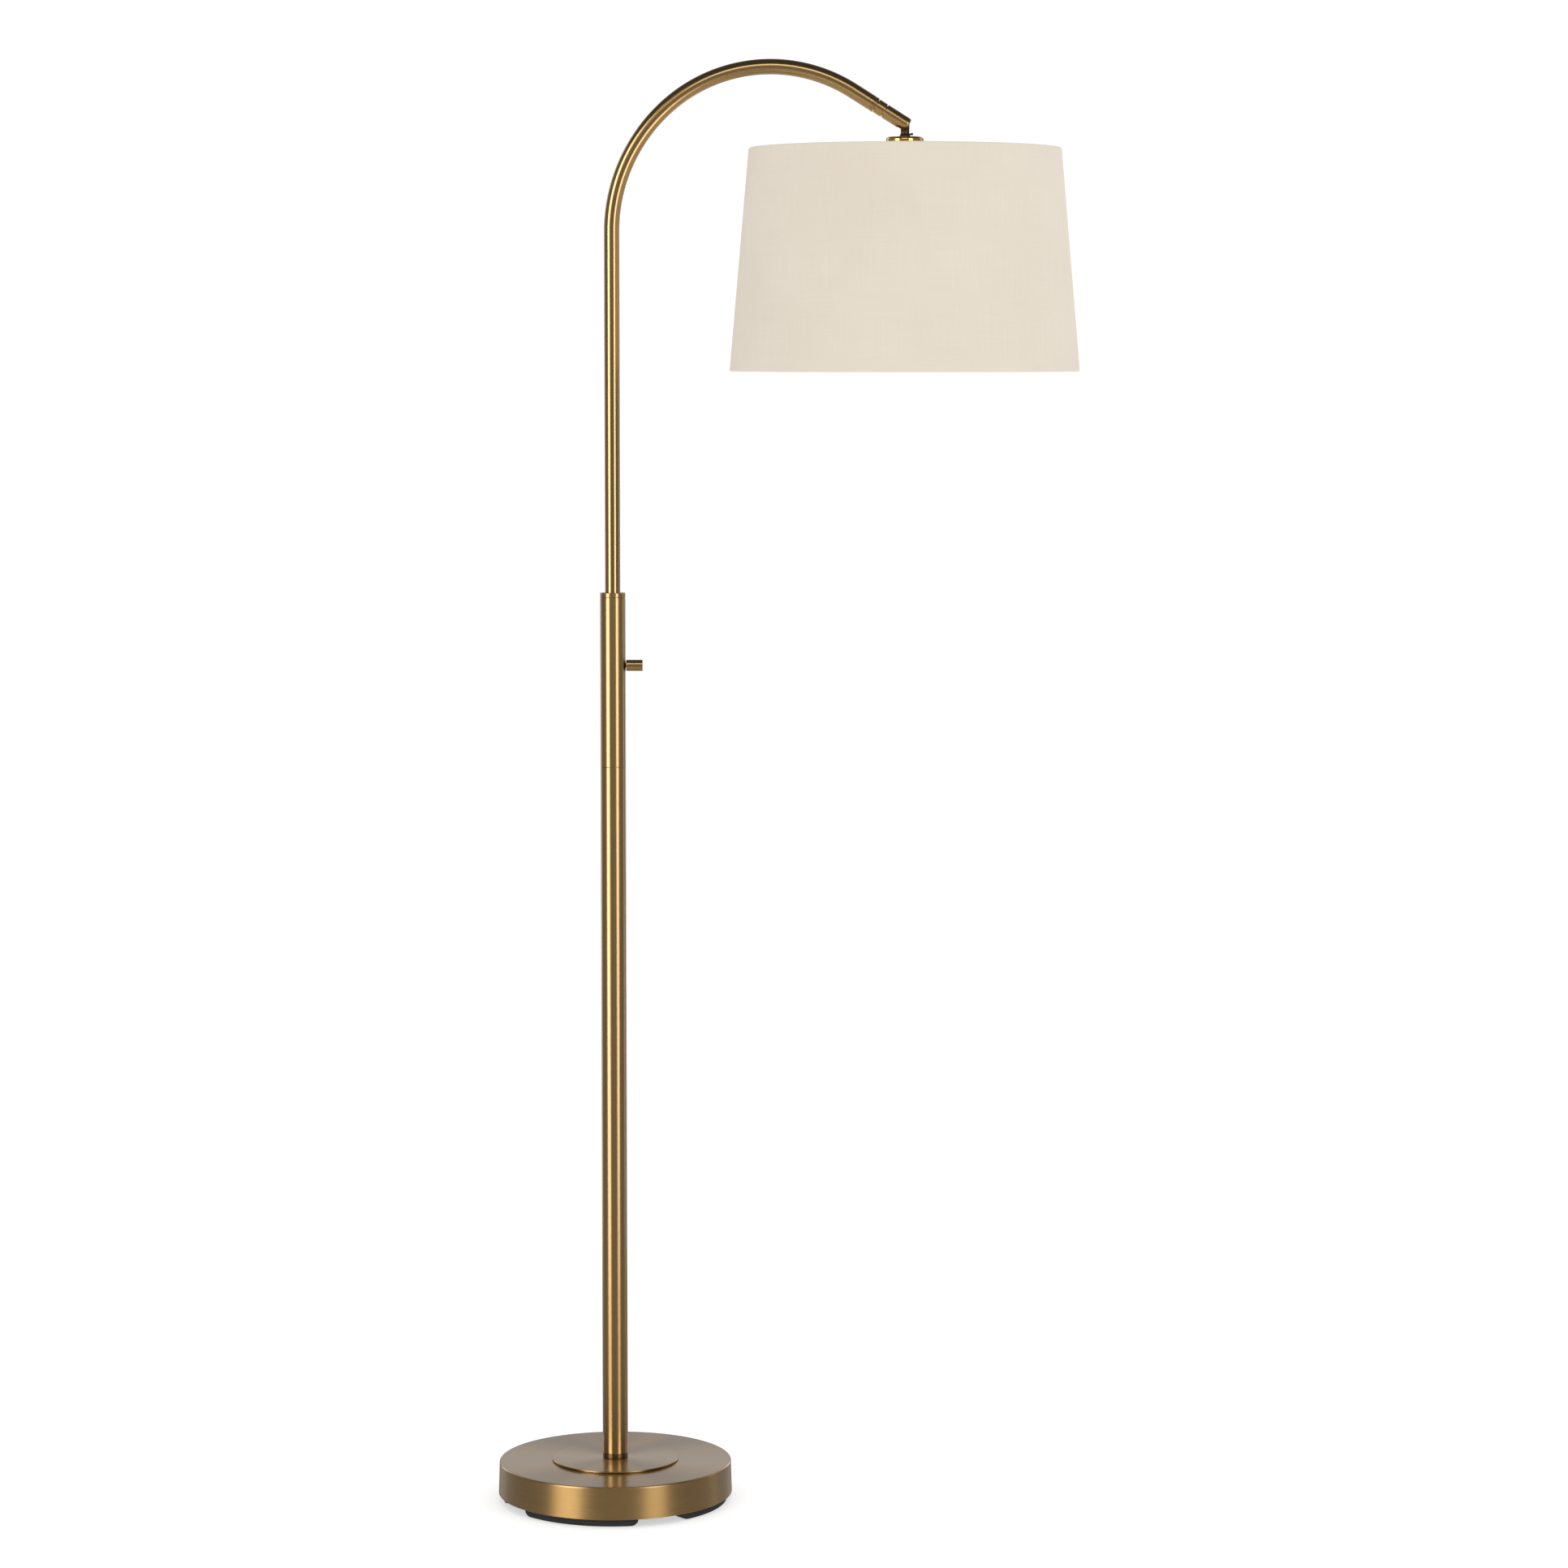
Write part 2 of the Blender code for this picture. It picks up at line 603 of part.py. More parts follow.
# ---- arm ------------------------------------------------------------------------------------
def arm_path(steps_low=9, steps_high=13):
    """(x, z, slope) along the tube's centre line; slope is the turn away from the vertical."""
    path = [(0.0, TUBE_BOTTOM_Z + GAP, 0.0)]
    stretches = [
        (BEND_LOW_RADIUS, 0.0, BEND_LOW_ANGLE, steps_low),
        (BEND_HIGH_RADIUS, BEND_LOW_ANGLE, pi / 2 + ARM_DROP, steps_high),
    ]
    x, z = 0.0, BEND_Z
    for radius, start, end, steps in stretches:
        centre_x = x + radius * cos(start)
        centre_z = z - radius * sin(start)
        for step in range(steps):
            angle = start + (end - start) * step / steps
            path.append((centre_x - radius * cos(angle), centre_z + radius * sin(angle), angle))
        x = centre_x - radius * cos(end)
        z = centre_z + radius * sin(end)
    path.append((x, z, pi / 2 + ARM_DROP))
    return path


def arm_end_place():
    """Centre of the arm's end face, in the pole's frame."""
    x, z, _ = arm_path()[-1]
    return (x + ARM_END_STRAIGHT * cos(ARM_DROP), 0.0, z - ARM_END_STRAIGHT * sin(ARM_DROP))


def arm_tube(sides=20):
    """The bent tube: one annular section carried along the arm's path."""
    bm = bmesh.new()
    end_x, _, end_z = arm_end_place()
    back = FERRULE_LENGTH + GAP
    path = arm_path()
    path.append((end_x - back * cos(ARM_DROP), end_z + back * sin(ARM_DROP), pi / 2 + ARM_DROP))

    def loop(radius, station):
        x, z, slope = station
        points = []
        for index in range(sides):
            angle = tau * index / sides
            across = radius * cos(angle)
            place = (x + across * cos(slope), radius * sin(angle), z - across * sin(slope))
            points.append(bm.verts.new(place))
        return points

    outer = [loop(TUBE_RADIUS, station) for station in path]
    inner = [loop(TUBE_BORE, station) for station in reversed(path)]
    ring_faces(bm, outer + inner)
    return bm


def build_arm(slider, arm, arm_end):
    spigot_top = TUBE_BOTTOM_Z + PISTON_SPIGOT
    piston = turned([
        (PISTON_BORE, TUBE_BOTTOM_Z - PISTON_LENGTH),
        (POLE_BORE - GAP - MM, TUBE_BOTTOM_Z - PISTON_LENGTH),
        (POLE_BORE - GAP, TUBE_BOTTOM_Z - PISTON_LENGTH + MM),
        (POLE_BORE - GAP, TUBE_BOTTOM_Z),
        (TUBE_BORE - GAP, TUBE_BOTTOM_Z),
        (TUBE_BORE - GAP, spigot_top),
        (PISTON_BORE, spigot_top),
    ])
    add_piece("arm_piston", piston, PALE_NYLON, slider)
    add_piece("arm_tube", arm_tube(), ANTIQUE_BRASS, arm)

    stud_clear = STUD_RADIUS + GAP
    spigot = TUBE_BORE - GAP
    edge_radius = FERRULE_RADIUS - 0.2 * MM
    groove_floor = FERRULE_RADIUS - FERRULE_GROOVE_DEPTH
    ferrule = [(stud_clear, -FERRULE_SPIGOT), (spigot, -FERRULE_SPIGOT), (spigot, -FERRULE_LENGTH)]
    ferrule.append((edge_radius, -FERRULE_LENGTH))
    for groove_at in FERRULE_GROOVES:
        ferrule.append((FERRULE_RADIUS, groove_at - 0.5 * MM))
        ferrule.append((groove_floor, groove_at - 0.25 * MM))
        ferrule.append((groove_floor, groove_at + 0.25 * MM))
        ferrule.append((FERRULE_RADIUS, groove_at + 0.5 * MM))
    ferrule += [(edge_radius, 0), (stud_clear, 0)]
    add_piece("arm_ferrule", turned(ferrule, 20), ANTIQUE_BRASS, arm_end)

    edge = 0.3 * MM
    collar = turned([
        (stud_clear, GAP),
        (SWIVEL_RADIUS - edge, GAP),
        (SWIVEL_RADIUS, GAP + edge),
        (SWIVEL_RADIUS, COLLAR_END - edge),
        (SWIVEL_RADIUS - edge, COLLAR_END),
        (stud_clear, COLLAR_END),
    ])
    add_piece("swivel_collar", collar, ANTIQUE_BRASS, arm_end)

    web_end = SWIVEL_START + SWIVEL_WEB
    washer_end = web_end + GAP + STUD_WASHER
    head_start = washer_end + GAP
    head_end = head_start + STUD_HEAD
    stud = turned([
        (STUD_BORE, STUD_START),
        (STUD_RADIUS, STUD_START),
        (STUD_RADIUS, head_start),
        (STUD_HEAD_RADIUS, head_start),
        (STUD_HEAD_RADIUS, head_end),
        (STUD_BORE, head_end),
    ], 16)
    add_piece("swivel_stud", stud, ZINC_STEEL, arm_end)
    washer = pipe(STUD_WASHER_RADIUS, stud_clear, web_end + GAP, washer_end, 16)
    add_piece("swivel_washer", washer, ZINC_STEEL, arm_end)


def build_swivel(swivel):
    """The fork that turns on the arm's end; its local Z runs along the arm, local X faces down."""
    edge = 0.3 * MM
    web_end = SWIVEL_START + SWIVEL_WEB
    slot_start = PIN_AT - TANG_HALF_WIDTH - GAP
    bore = SLOT_HALF + GAP
    outline = [(STUD_RADIUS + GAP, web_end), (STUD_RADIUS + GAP, SWIVEL_START)]
    outline += [(SWIVEL_RADIUS - edge, SWIVEL_START), (SWIVEL_RADIUS, SWIVEL_START + edge)]
    nose_centre = (SWIVEL_RADIUS - SWIVEL_EDGE, SWIVEL_END - SWIVEL_EDGE)
    outline += arc_points(nose_centre, SWIVEL_EDGE, 0, radians(90), 4)
    outline += [(0, SWIVEL_END), (0, slot_start + MM), (bore, slot_start + MM), (bore, web_end)]
    body = add_piece("swivel_body", closed_turned(outline, 28), ANTIQUE_BRASS, swivel)
    slot_low = (-TANG_HALF_WIDTH - GAP, -SLOT_HALF, slot_start)
    slot_high = (SLOT_REACH, SLOT_HALF, SWIVEL_END + 10 * MM)
    boolean(body, block(slot_low, slot_high), "swivel_slot")
    hole = PIN_RADIUS + GAP
    drill(body, "pin_hole", hole, PIN_START - GAP, SLOT_REACH, ALONG_Y, (0, 0, PIN_AT))

    pin = turned([(0, PIN_START), (PIN_RADIUS, PIN_START), (PIN_RADIUS, PIN_END), (0, PIN_END)], 20)
    add_piece("tilt_pin", pin, DARK_BRONZE, swivel, (0, 0, PIN_AT), ALONG_Y)
    washer_low = TANG_HALF_THICKNESS + GAP
    washer_high = SLOT_HALF - GAP
    for index, side in enumerate((1, -1)):
        low, high = sorted((side * washer_low, side * washer_high))
        washer = pipe(TILT_WASHER_RADIUS, hole, low, high, 16)
        add_piece(f"tilt_washer_{index + 1}", washer, ZINC_STEEL, swivel, (0, 0, PIN_AT), ALONG_Y)


# ---- tang, cap and shade ---------------------------------------------------------------------
def tang_plate():
    """The flat of the tang: round about the pin, straight down to where the stem begins."""
    bm = bmesh.new()
    steps = 12
    outline = []
    for step in range(steps + 1):
        angle = pi * step / steps
        outline.append((TANG_HALF_WIDTH * cos(angle), TANG_HALF_WIDTH * sin(angle)))
    low = -TANG_FLAT_END - 0.4 * MM
    width = TANG_HALF_WIDTH - 0.1 * MM
    knee = -TANG_FLAT_END + MM
    outline += [(-TANG_HALF_WIDTH, knee), (-width, low), (width, low), (TANG_HALF_WIDTH, knee)]
    loops = []
    for y in (-TANG_HALF_THICKNESS, TANG_HALF_THICKNESS):
        loops.append([bm.verts.new((x, y, z)) for x, z in outline])
    ring_faces(bm, loops, close_ends=True)
    return bm


def build_tang(tilt):
    stem = turned([
        (0, -TANG_FOOT + TANG_BORE_DEPTH),
        (TANG_BORE, -TANG_FOOT + TANG_BORE_DEPTH),
        (TANG_BORE, -TANG_FOOT),
        (TANG_FOOT_RADIUS, -TANG_FOOT),
        (TANG_FOOT_RADIUS - 0.3 * MM, -TANG_FOOT + 0.6 * MM),
        (TANG_HALF_WIDTH + 0.2 * MM, -TANG_FOOT + 2.6 * MM),
        (TANG_HALF_WIDTH, -TANG_FOOT + 3.6 * MM),
        (TANG_HALF_WIDTH, -TANG_FLAT_END),
        (0, -TANG_FLAT_END),
    ])
    tang = add_piece("shade_tang", stem, DARK_BRONZE, tilt)
    boolean(tang, tang_plate(), "tang_flat", "UNION")
    drill(tang, "tang_pin_hole", PIN_RADIUS + GAP, -8 * MM, 8 * MM, ALONG_Y)
    screw_z = -TANG_FOOT + TANG_SCREW_HEIGHT
    drill(tang, "tang_screw_hole", TANG_SCREW_HOLE, 2 * MM, 9 * MM, ALONG_X, (0, 0, screw_z), 12)

    tip = 3.4 * MM
    seat = 6.7 * MM
    crown = 9.3 * MM
    screw = turned([
        (0, tip),
        (TANG_SCREW_RADIUS, tip),
        (TANG_SCREW_RADIUS, seat),
        (TANG_SCREW_HEAD, seat + 0.2 * MM),
        (TANG_SCREW_HEAD, crown - 0.4 * MM),
        (TANG_SCREW_HEAD - 0.35 * MM, crown),
        (0, crown),
    ], 16)
    add_piece("tang_screw", screw, DARK_BRONZE, tilt, (0, 0, screw_z), ALONG_X)

    shoulder_centre = (CAP_RADIUS - CAP_SHOULDER, -CAP_TOP - CAP_SHOULDER_DROP)
    outer = [(CLEAR_BORE, -CAP_TOP)]
    outer += reversed(arc_points(shoulder_centre, CAP_SHOULDER, 0, radians(90), 3))
    outer += [(CAP_RADIUS, -CAP_BOTTOM)]
    inner = [(CAP_RADIUS - CAP_WALL, -CAP_BOTTOM)]
    inner += arc_points(shoulder_centre, CAP_SHOULDER - CAP_WALL, 0, radians(90), 3)
    inner += [(CLEAR_BORE, -CAP_TOP - CAP_WALL)]
    add_piece("shade_cap", turned(outer + inner, 28), POLISHED_BRASS, tilt)

    neck_low = -CAP_TOP - 0.6 * MM
    neck_top = -TANG_FOOT + TANG_BORE_DEPTH - GAP
    nipple = turned([
        (NIPPLE_BORE, -NIPPLE_END),
        (ROD_RADIUS, -NIPPLE_END),
        (ROD_RADIUS, neck_low),
        (NIPPLE_NECK, neck_low),
        (NIPPLE_NECK, neck_top),
        (NIPPLE_BORE, neck_top),
    ], 16)
    add_piece("shade_nipple", nipple, ZINC_STEEL, tilt)


def shade_radius(drop):
    """Outer radius of the shade at a depth below the tilt pin."""
    share = (drop - SHADE_TOP) / SHADE_HEIGHT
    return SHADE_TOP_RADIUS + (SHADE_FOOT_RADIUS - SHADE_TOP_RADIUS) * share


def wire_ring(ring_radius, segments=48, sides=5):
    """A wire hoop about local Z."""
    bm = bmesh.new()
    loops = []
    for index in range(segments):
        angle = tau * index / segments
        loop = []
        for side in range(sides):
            turn = tau * side / sides
            reach = ring_radius + WIRE_RADIUS * cos(turn)
            rise = WIRE_RADIUS * sin(turn)
            loop.append(bm.verts.new((reach * cos(angle), reach * sin(angle), rise)))
        loops.append(loop)
    ring_faces(bm, loops)
    return bm


def build_shade(tilt):
    bottom = SHADE_TOP + SHADE_HEIGHT
    fabric_inner_top = SHADE_TOP_RADIUS - FABRIC_WALL
    fabric_inner_foot = SHADE_FOOT_RADIUS - FABRIC_WALL
    fabric = [
        (SHADE_FOOT_RADIUS - LIP_WIDTH, -bottom),
        (SHADE_FOOT_RADIUS, -bottom),
        (SHADE_TOP_RADIUS, -SHADE_TOP),
        (SHADE_TOP_RADIUS - LIP_WIDTH, -SHADE_TOP),
        (SHADE_TOP_RADIUS - LIP_WIDTH, -SHADE_TOP - FABRIC_WALL),
        (fabric_inner_top, -SHADE_TOP - FABRIC_WALL),
        (fabric_inner_foot, -bottom + FABRIC_WALL),
        (SHADE_FOOT_RADIUS - LIP_WIDTH, -bottom + FABRIC_WALL),
    ]
    add_piece("shade_fabric", turned(fabric, 64), LINEN, tilt)

    liner_top = SHADE_TOP + FABRIC_WALL + GAP
    liner_foot = bottom - FABRIC_WALL - GAP
    outer_top = shade_radius(liner_top) - FABRIC_WALL - GAP
    outer_foot = shade_radius(liner_foot) - FABRIC_WALL - GAP
    liner = [
        (outer_foot - LINER_WALL, -liner_foot),
        (outer_foot, -liner_foot),
        (outer_top, -liner_top),
        (outer_top - LINER_WALL, -liner_top),
    ]
    add_piece("shade_liner", turned(liner, 64), STYRENE, tilt)

    wire_clear = WIRE_RADIUS + 2 * GAP
    top_drop = liner_top + wire_clear
    foot_drop = liner_foot - wire_clear
    inner_wall = FABRIC_WALL + GAP + LINER_WALL
    top_ring_radius = shade_radius(top_drop) - inner_wall - wire_clear
    foot_ring_radius = shade_radius(foot_drop) - inner_wall - wire_clear
    add_piece("shade_ring_top", wire_ring(top_ring_radius), WHITE_WIRE, tilt, (0, 0, -top_drop))
    add_piece("shade_ring_bottom", wire_ring(foot_ring_radius), WHITE_WIRE, tilt, (0, 0, -foot_drop))

    hub_bottom = HUB_TOP + HUB_THICKNESS
    add_piece("spider_hub", pipe(HUB_RADIUS, CLEAR_BORE, -hub_bottom, -HUB_TOP), WHITE_WIRE, tilt)
    nut_top = -hub_bottom - GAP
    nut = hex_nut(HUB_NUT_FLATS, CLEAR_BORE, nut_top - HUB_NUT_HEIGHT, nut_top)
    add_piece("hub_nut", nut, PLAIN_BRASS, tilt, smooth=False)

    start = Vector((HUB_RADIUS + 2 * GAP, 0, -HUB_TOP - HUB_THICKNESS / 2))
    end = Vector((top_ring_radius - WIRE_RADIUS - 2 * GAP, 0, -top_drop))
    length = (end - start).length
    lean = atan2(end.x - start.x, end.z - start.z)
    for index in range(SPOKE_COUNT):
        turn = radians(90) + index * tau / SPOKE_COUNT
        place = Matrix.Rotation(turn, 3, "Z") @ start
        spoke = turned([(0, 0), (SPOKE_RADIUS, 0), (SPOKE_RADIUS, length), (0, length)], 8)
        add_piece(f"spider_spoke_{index + 1}", spoke, WHITE_WIRE, tilt, place, (0, lean, turn))


# ---- socket, switch and bulb -----------------------------------------------------------------
def build_socket(tilt):
    top = -SOCKET_TOP
    skirt_low = top - SOCKET_SKIRT
    skirt_inside = SOCKET_RADIUS - SOCKET_WALL
    cap = turned([
        (CLEAR_BORE, top),
        (SOCKET_NECK_RADIUS, top),
        (SOCKET_NECK_RADIUS, top - 6 * MM),
        (12 * MM, top - 7.5 * MM),
        (17 * MM, top - 13 * MM),
        (SOCKET_RADIUS, top - 16 * MM),
        (SOCKET_RADIUS, skirt_low),
        (skirt_inside, skirt_low),
        (skirt_inside, top - 16 * MM),
        (16.2 * MM, top - 13.7 * MM),
        (11.5 * MM, top - 8.7 * MM),
        (CLEAR_BORE, top - 7.7 * MM),
    ])
    add_piece("socket_cap", cap, PLAIN_BRASS, tilt)

    shell_radius = skirt_inside - GAP
    shell_bore = shell_radius - SOCKET_WALL
    shell_top = top - SHELL_START
    shell_low = top - SOCKET_LENGTH
    shell_bm = pipe(shell_radius, shell_bore, shell_low, shell_top)
    shell = add_piece("socket_shell", shell_bm, PLAIN_BRASS, tilt)
    hole = KEY_SHAFT_RADIUS + 0.8 * MM
    drill(shell, "key_shell_hole", hole, 10 * MM, 20 * MM, ALONG_X, (0, 0, -KEY_DROP))

    core_radius = shell_bore - GAP
    core_low = shell_low + 2 * MM
    well_top = shell_low + WELL_DEPTH
    core_bm = turned([
        (0, shell_top - MM),
        (core_radius, shell_top - MM),
        (core_radius, core_low),
        (WELL_RADIUS, core_low),
        (WELL_RADIUS, well_top),
        (0, well_top),
    ])
    core = add_piece("socket_core", core_bm, PORCELAIN, tilt)
    hole = KEY_SHAFT_RADIUS + GAP
    drill(core, "key_core_hole", hole, KEY_START - 0.5 * MM, 20 * MM, ALONG_X, (0, 0, -KEY_DROP))
    build_bulb(tilt, well_top - GAP)


def switch_key():
    """Turn knob of the socket's rotary switch, along local Z, which points to +X."""
    return turned([
        (0, KEY_START),
        (KEY_SHAFT_RADIUS, KEY_START),
        (KEY_SHAFT_RADIUS, 19 * MM),
        (KEY_RADIUS - 0.6 * MM, 20 * MM),
        (KEY_RADIUS, 22 * MM),
        (KEY_RADIUS, KEY_END - 2 * MM),
        (KEY_RADIUS - 0.8 * MM, KEY_END - 0.5 * MM),
        (0, KEY_END),
    ], 20)


def build_bulb(tilt, contact_z):
    low = -BULB_NECK_TOP + GAP
    base = turned([
        (0, contact_z),
        (3.5 * MM, contact_z - 0.3 * MM),
        (4.5 * MM, contact_z - 1.6 * MM),
        (9.5 * MM, contact_z - 2.6 * MM),
        (12.6 * MM, contact_z - 4.6 * MM),
        (BULB_CAP_RADIUS, contact_z - 6 * MM),
        (BULB_CAP_RADIUS, low),
        (0, low),
    ])
    add_piece("bulb_base", base, ZINC_STEEL, tilt)
    add_piece("bulb_glass", turned(bulb_outline(), 20), OPAL_GLASS, tilt)


def bulb_outline():
    """Pear-shaped envelope, open at its neck: a ball joined to the neck by a reversed curve."""
    neck = BULB_CAP_RADIUS
    centre = (0, -BULB_BOTTOM + BULB_RADIUS)
    lean = BULB_SHOULDER
    flare_radius = (BULB_RADIUS * cos(lean) - neck) / (1 - cos(lean))
    flare_centre = (neck + flare_radius, centre[1] + (BULB_RADIUS + flare_radius) * sin(lean))
    lip_low = -BULB_NECK_TOP - BULB_LIP
    outer = [(neck, -BULB_NECK_TOP), (neck, lip_low)]
    flare = arc_points(flare_centre, flare_radius, pi, pi + lean, 3)
    outer += [point for point in flare if point[1] < lip_low - MM]
    outer += arc_points(centre, BULB_RADIUS, lean, -pi / 2, 8)[1:]
    outer[-1] = (0, -BULB_BOTTOM)
    inner = []
    for before, here, after in zip(outer, outer[1:], outer[2:]):
        along = Vector((after[0] - before[0], after[1] - before[1])).normalized()
        inner.append((here[0] + along.y * BULB_WALL, here[1] - along.x * BULB_WALL))
    inner = [(0, -BULB_BOTTOM + BULB_WALL)] + inner[::-1] + [(neck - BULB_WALL, -BULB_NECK_TOP)]
    return inner + outer


def build_lamp():
    clear_scene()
    end_x, _, end_z = arm_end_place()
    shade_x = end_x + PIN_AT * cos(ARM_DROP)
    pole_x = -(shade_x + SHADE_FOOT_RADIUS - BASE_FOOT_RADIUS) / 2

    stand = empty("stand_frame", (pole_x, 0, 0))
    build_base(stand)
    build_pole(stand)

    clamp = empty("clamp_axis", (0, 0, CLAMP_Z), ALONG_X, stand)
    build_clamp(clamp)

    slider = empty("height_axis", parent=stand)
    arm = empty("arm_axis", parent=slider)
    arm_end = empty("arm_end_frame", (end_x, 0, end_z), (0, pi / 2 + ARM_DROP, 0), arm)
    build_arm(slider, arm, arm_end)

    swivel = empty("swivel_axis", parent=arm_end)
    build_swivel(swivel)

    tilt = empty("tilt_axis", (0, 0, PIN_AT), (0, -pi / 2 - ARM_DROP, 0), swivel)
    build_tang(tilt)
    build_shade(tilt)
    build_socket(tilt)
    switch = empty("switch_axis", (0, 0, -KEY_DROP), ALONG_X, tilt)
    add_piece("switch_key", switch_key(), BLACK_PLASTIC, switch)


build_lamp()
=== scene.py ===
"""Pharmacy floor lamp: the pieces that show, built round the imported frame."""

from math import atan2, ceil, cos, dist, hypot, pi, radians, sin, tan, tau

import bmesh
import bpy
from mathutils import Matrix, Vector


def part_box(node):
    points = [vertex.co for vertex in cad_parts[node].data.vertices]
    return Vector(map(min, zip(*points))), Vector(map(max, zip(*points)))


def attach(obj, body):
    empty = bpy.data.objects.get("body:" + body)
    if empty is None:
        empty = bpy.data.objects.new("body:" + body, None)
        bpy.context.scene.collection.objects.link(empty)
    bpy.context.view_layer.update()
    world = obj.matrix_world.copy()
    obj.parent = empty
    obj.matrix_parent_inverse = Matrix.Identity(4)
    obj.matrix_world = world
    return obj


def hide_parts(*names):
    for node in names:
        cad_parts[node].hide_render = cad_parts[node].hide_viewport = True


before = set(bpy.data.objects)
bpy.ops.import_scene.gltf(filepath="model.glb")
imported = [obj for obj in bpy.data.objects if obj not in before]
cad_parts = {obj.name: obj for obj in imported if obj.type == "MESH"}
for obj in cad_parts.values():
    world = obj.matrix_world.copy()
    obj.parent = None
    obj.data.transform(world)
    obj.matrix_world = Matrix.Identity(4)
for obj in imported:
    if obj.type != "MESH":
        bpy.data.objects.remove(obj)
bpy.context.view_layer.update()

MM = 0.001
UV = "metric"
SMOOTH_ANGLE = 38       # degrees between faces that still shade as one

# ---- sizes, as in the CAD model ---------------------------------------------------------------
GAP = 0.3 * MM
PAD_HEIGHT = 9.0 * MM
PAD_RADIUS = 133.4 * MM
PAD_WIDTH = 22.0 * MM
PAD_SPAN = radians(65)
PAD_COUNT = 4
PAD_FIRST_ANGLE = radians(-18.7)
PAD_END_SLOPE = 4.5 * MM
BASE_FOOT_RADIUS = 138.6 * MM
BASE_TOP_RADIUS = 137.5 * MM
BASE_Z = 9.3 * MM
BASE_TOP_Z = 47.6 * MM
BASE_WALL = 1.2 * MM
GLAND_Z = 20.0 * MM
GLAND_RADIUS = 6.0 * MM
CLEAR_BORE = 5.3 * MM
DISC_RADIUS = 74.6 * MM
DISC_STEP = 3.4 * MM
DISC_Z = 47.9 * MM
DISC_PLATE_Z = 48.9 * MM
DISC_TOP_Z = 50.4 * MM
POLE_RADIUS = 15.0 * MM
POLE_BORE = 13.5 * MM
COLLAR_LOW = 50.7 * MM
COLLAR_TOP = 56.0 * MM
SEAM_Z = 875.0 * MM
SLEEVE_TOP_Z = 1079.4 * MM
BUSH_COLLAR = 4.8 * MM
BUSH_LENGTH = 104.0 * MM
CLAMP_Z = 994.0 * MM
KNOB_RADIUS = 6.7 * MM
KNOB_END = 34.8 * MM
CLAMP_SCREW_RADIUS = 3.0 * MM
CLAMP_SCREW_END = 27.1 * MM
CLAMP_SCREW_HOLE = 3.3 * MM
TUBE_RADIUS = 9.0 * MM
TUBE_BORE = 7.8 * MM
TUBE_LOW = 785.3 * MM
BEND_Z = 1500.0 * MM
BEND_LOW_RADIUS = 193.4 * MM
BEND_LOW_ANGLE = radians(51.6)
BEND_HIGH_RADIUS = 179.5 * MM
ARM_DROP = radians(32.3)        # how far the arm's end points below the level
ARM_END_STRAIGHT = 31.6 * MM
FERRULE_LENGTH = 4.4 * MM
FERRULE_RADIUS = 9.15 * MM
COLLAR_END = 11.8 * MM
SWIVEL_START = 12.3 * MM
SWIVEL_END = 44.5 * MM
SWIVEL_RADIUS = 8.5 * MM
SWIVEL_WEB_END = 16.0 * MM
STUD_CLEAR = 3.7 * MM
SLOT_HALF = 4.4 * MM
PIN_AT = 40.05 * MM
PIN_HOLE = 1.8 * MM
TANG_HALF_WIDTH = 5.0 * MM
TANG_HALF_THICKNESS = 3.3 * MM
TANG_FLAT_END = 9.4 * MM
TANG_FOOT = 14.2 * MM
TANG_SCREW_Z = -11.8 * MM
CAP_RADIUS = 22.0 * MM
CAP_TOP = 14.5 * MM
CAP_BOTTOM = 20.5 * MM
HUB_TOP = 20.8 * MM
HUB_RADIUS = 14.0 * MM
SHADE_TOP = 27.8 * MM
SHADE_HEIGHT = 258.9 * MM
SHADE_BOTTOM = SHADE_TOP + SHADE_HEIGHT
SHADE_TOP_RADIUS = 181.8 * MM
SHADE_FOOT_RADIUS = 204.2 * MM
FABRIC_WALL = 0.7 * MM
LINER_WALL = 1.0 * MM
LIP_WIDTH = 5.0 * MM
LAP_AT = radians(90)            # the cloth's lap, at the back of the shade
LAP_HALF = radians(1.7)
LAP_RISE = 0.35 * MM
FABRIC_COLUMNS = 216
WIRE_RADIUS = 1.3 * MM
SPOKE_RADIUS = 1.5 * MM
SOCKET_TOP = 30.0 * MM
SOCKET_RADIUS = 17.6 * MM
SOCKET_WALL = 0.8 * MM
SHELL_RADIUS = 16.5 * MM
SHELL_TOP = -47.0 * MM
SHELL_LOW = -92.0 * MM
CORE_FLOOR = -73.0 * MM         # the closed end of the porcelain's cup, which the bulb's contact faces
KEY_DROP = 64.0 * MM
BULB_NECK_RADIUS = 13.1 * MM
BULB_RADIUS = 30.0 * MM
BULB_NECK_TOP = 98.0 * MM
BULB_BOTTOM = 178.0 * MM

# ---- where the look parts from the CAD model --------------------------------------------------
KNOB_FACE = 15.6 * MM           # closer to the pole: the photograph shows no gap there
JOINT_BOSS = 6.6 * MM           # radius behind the dark grooves between ferrule, collar and swivel
JOINT_LIP = 0.45 * MM           # how much of the collar's length each groove takes
JOINT_HAIR = 0.07 * MM          # what the boss keeps clear of the next piece

pole_low, pole_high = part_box("lower_pole")
POLE_X = (pole_low.x + pole_high.x) / 2


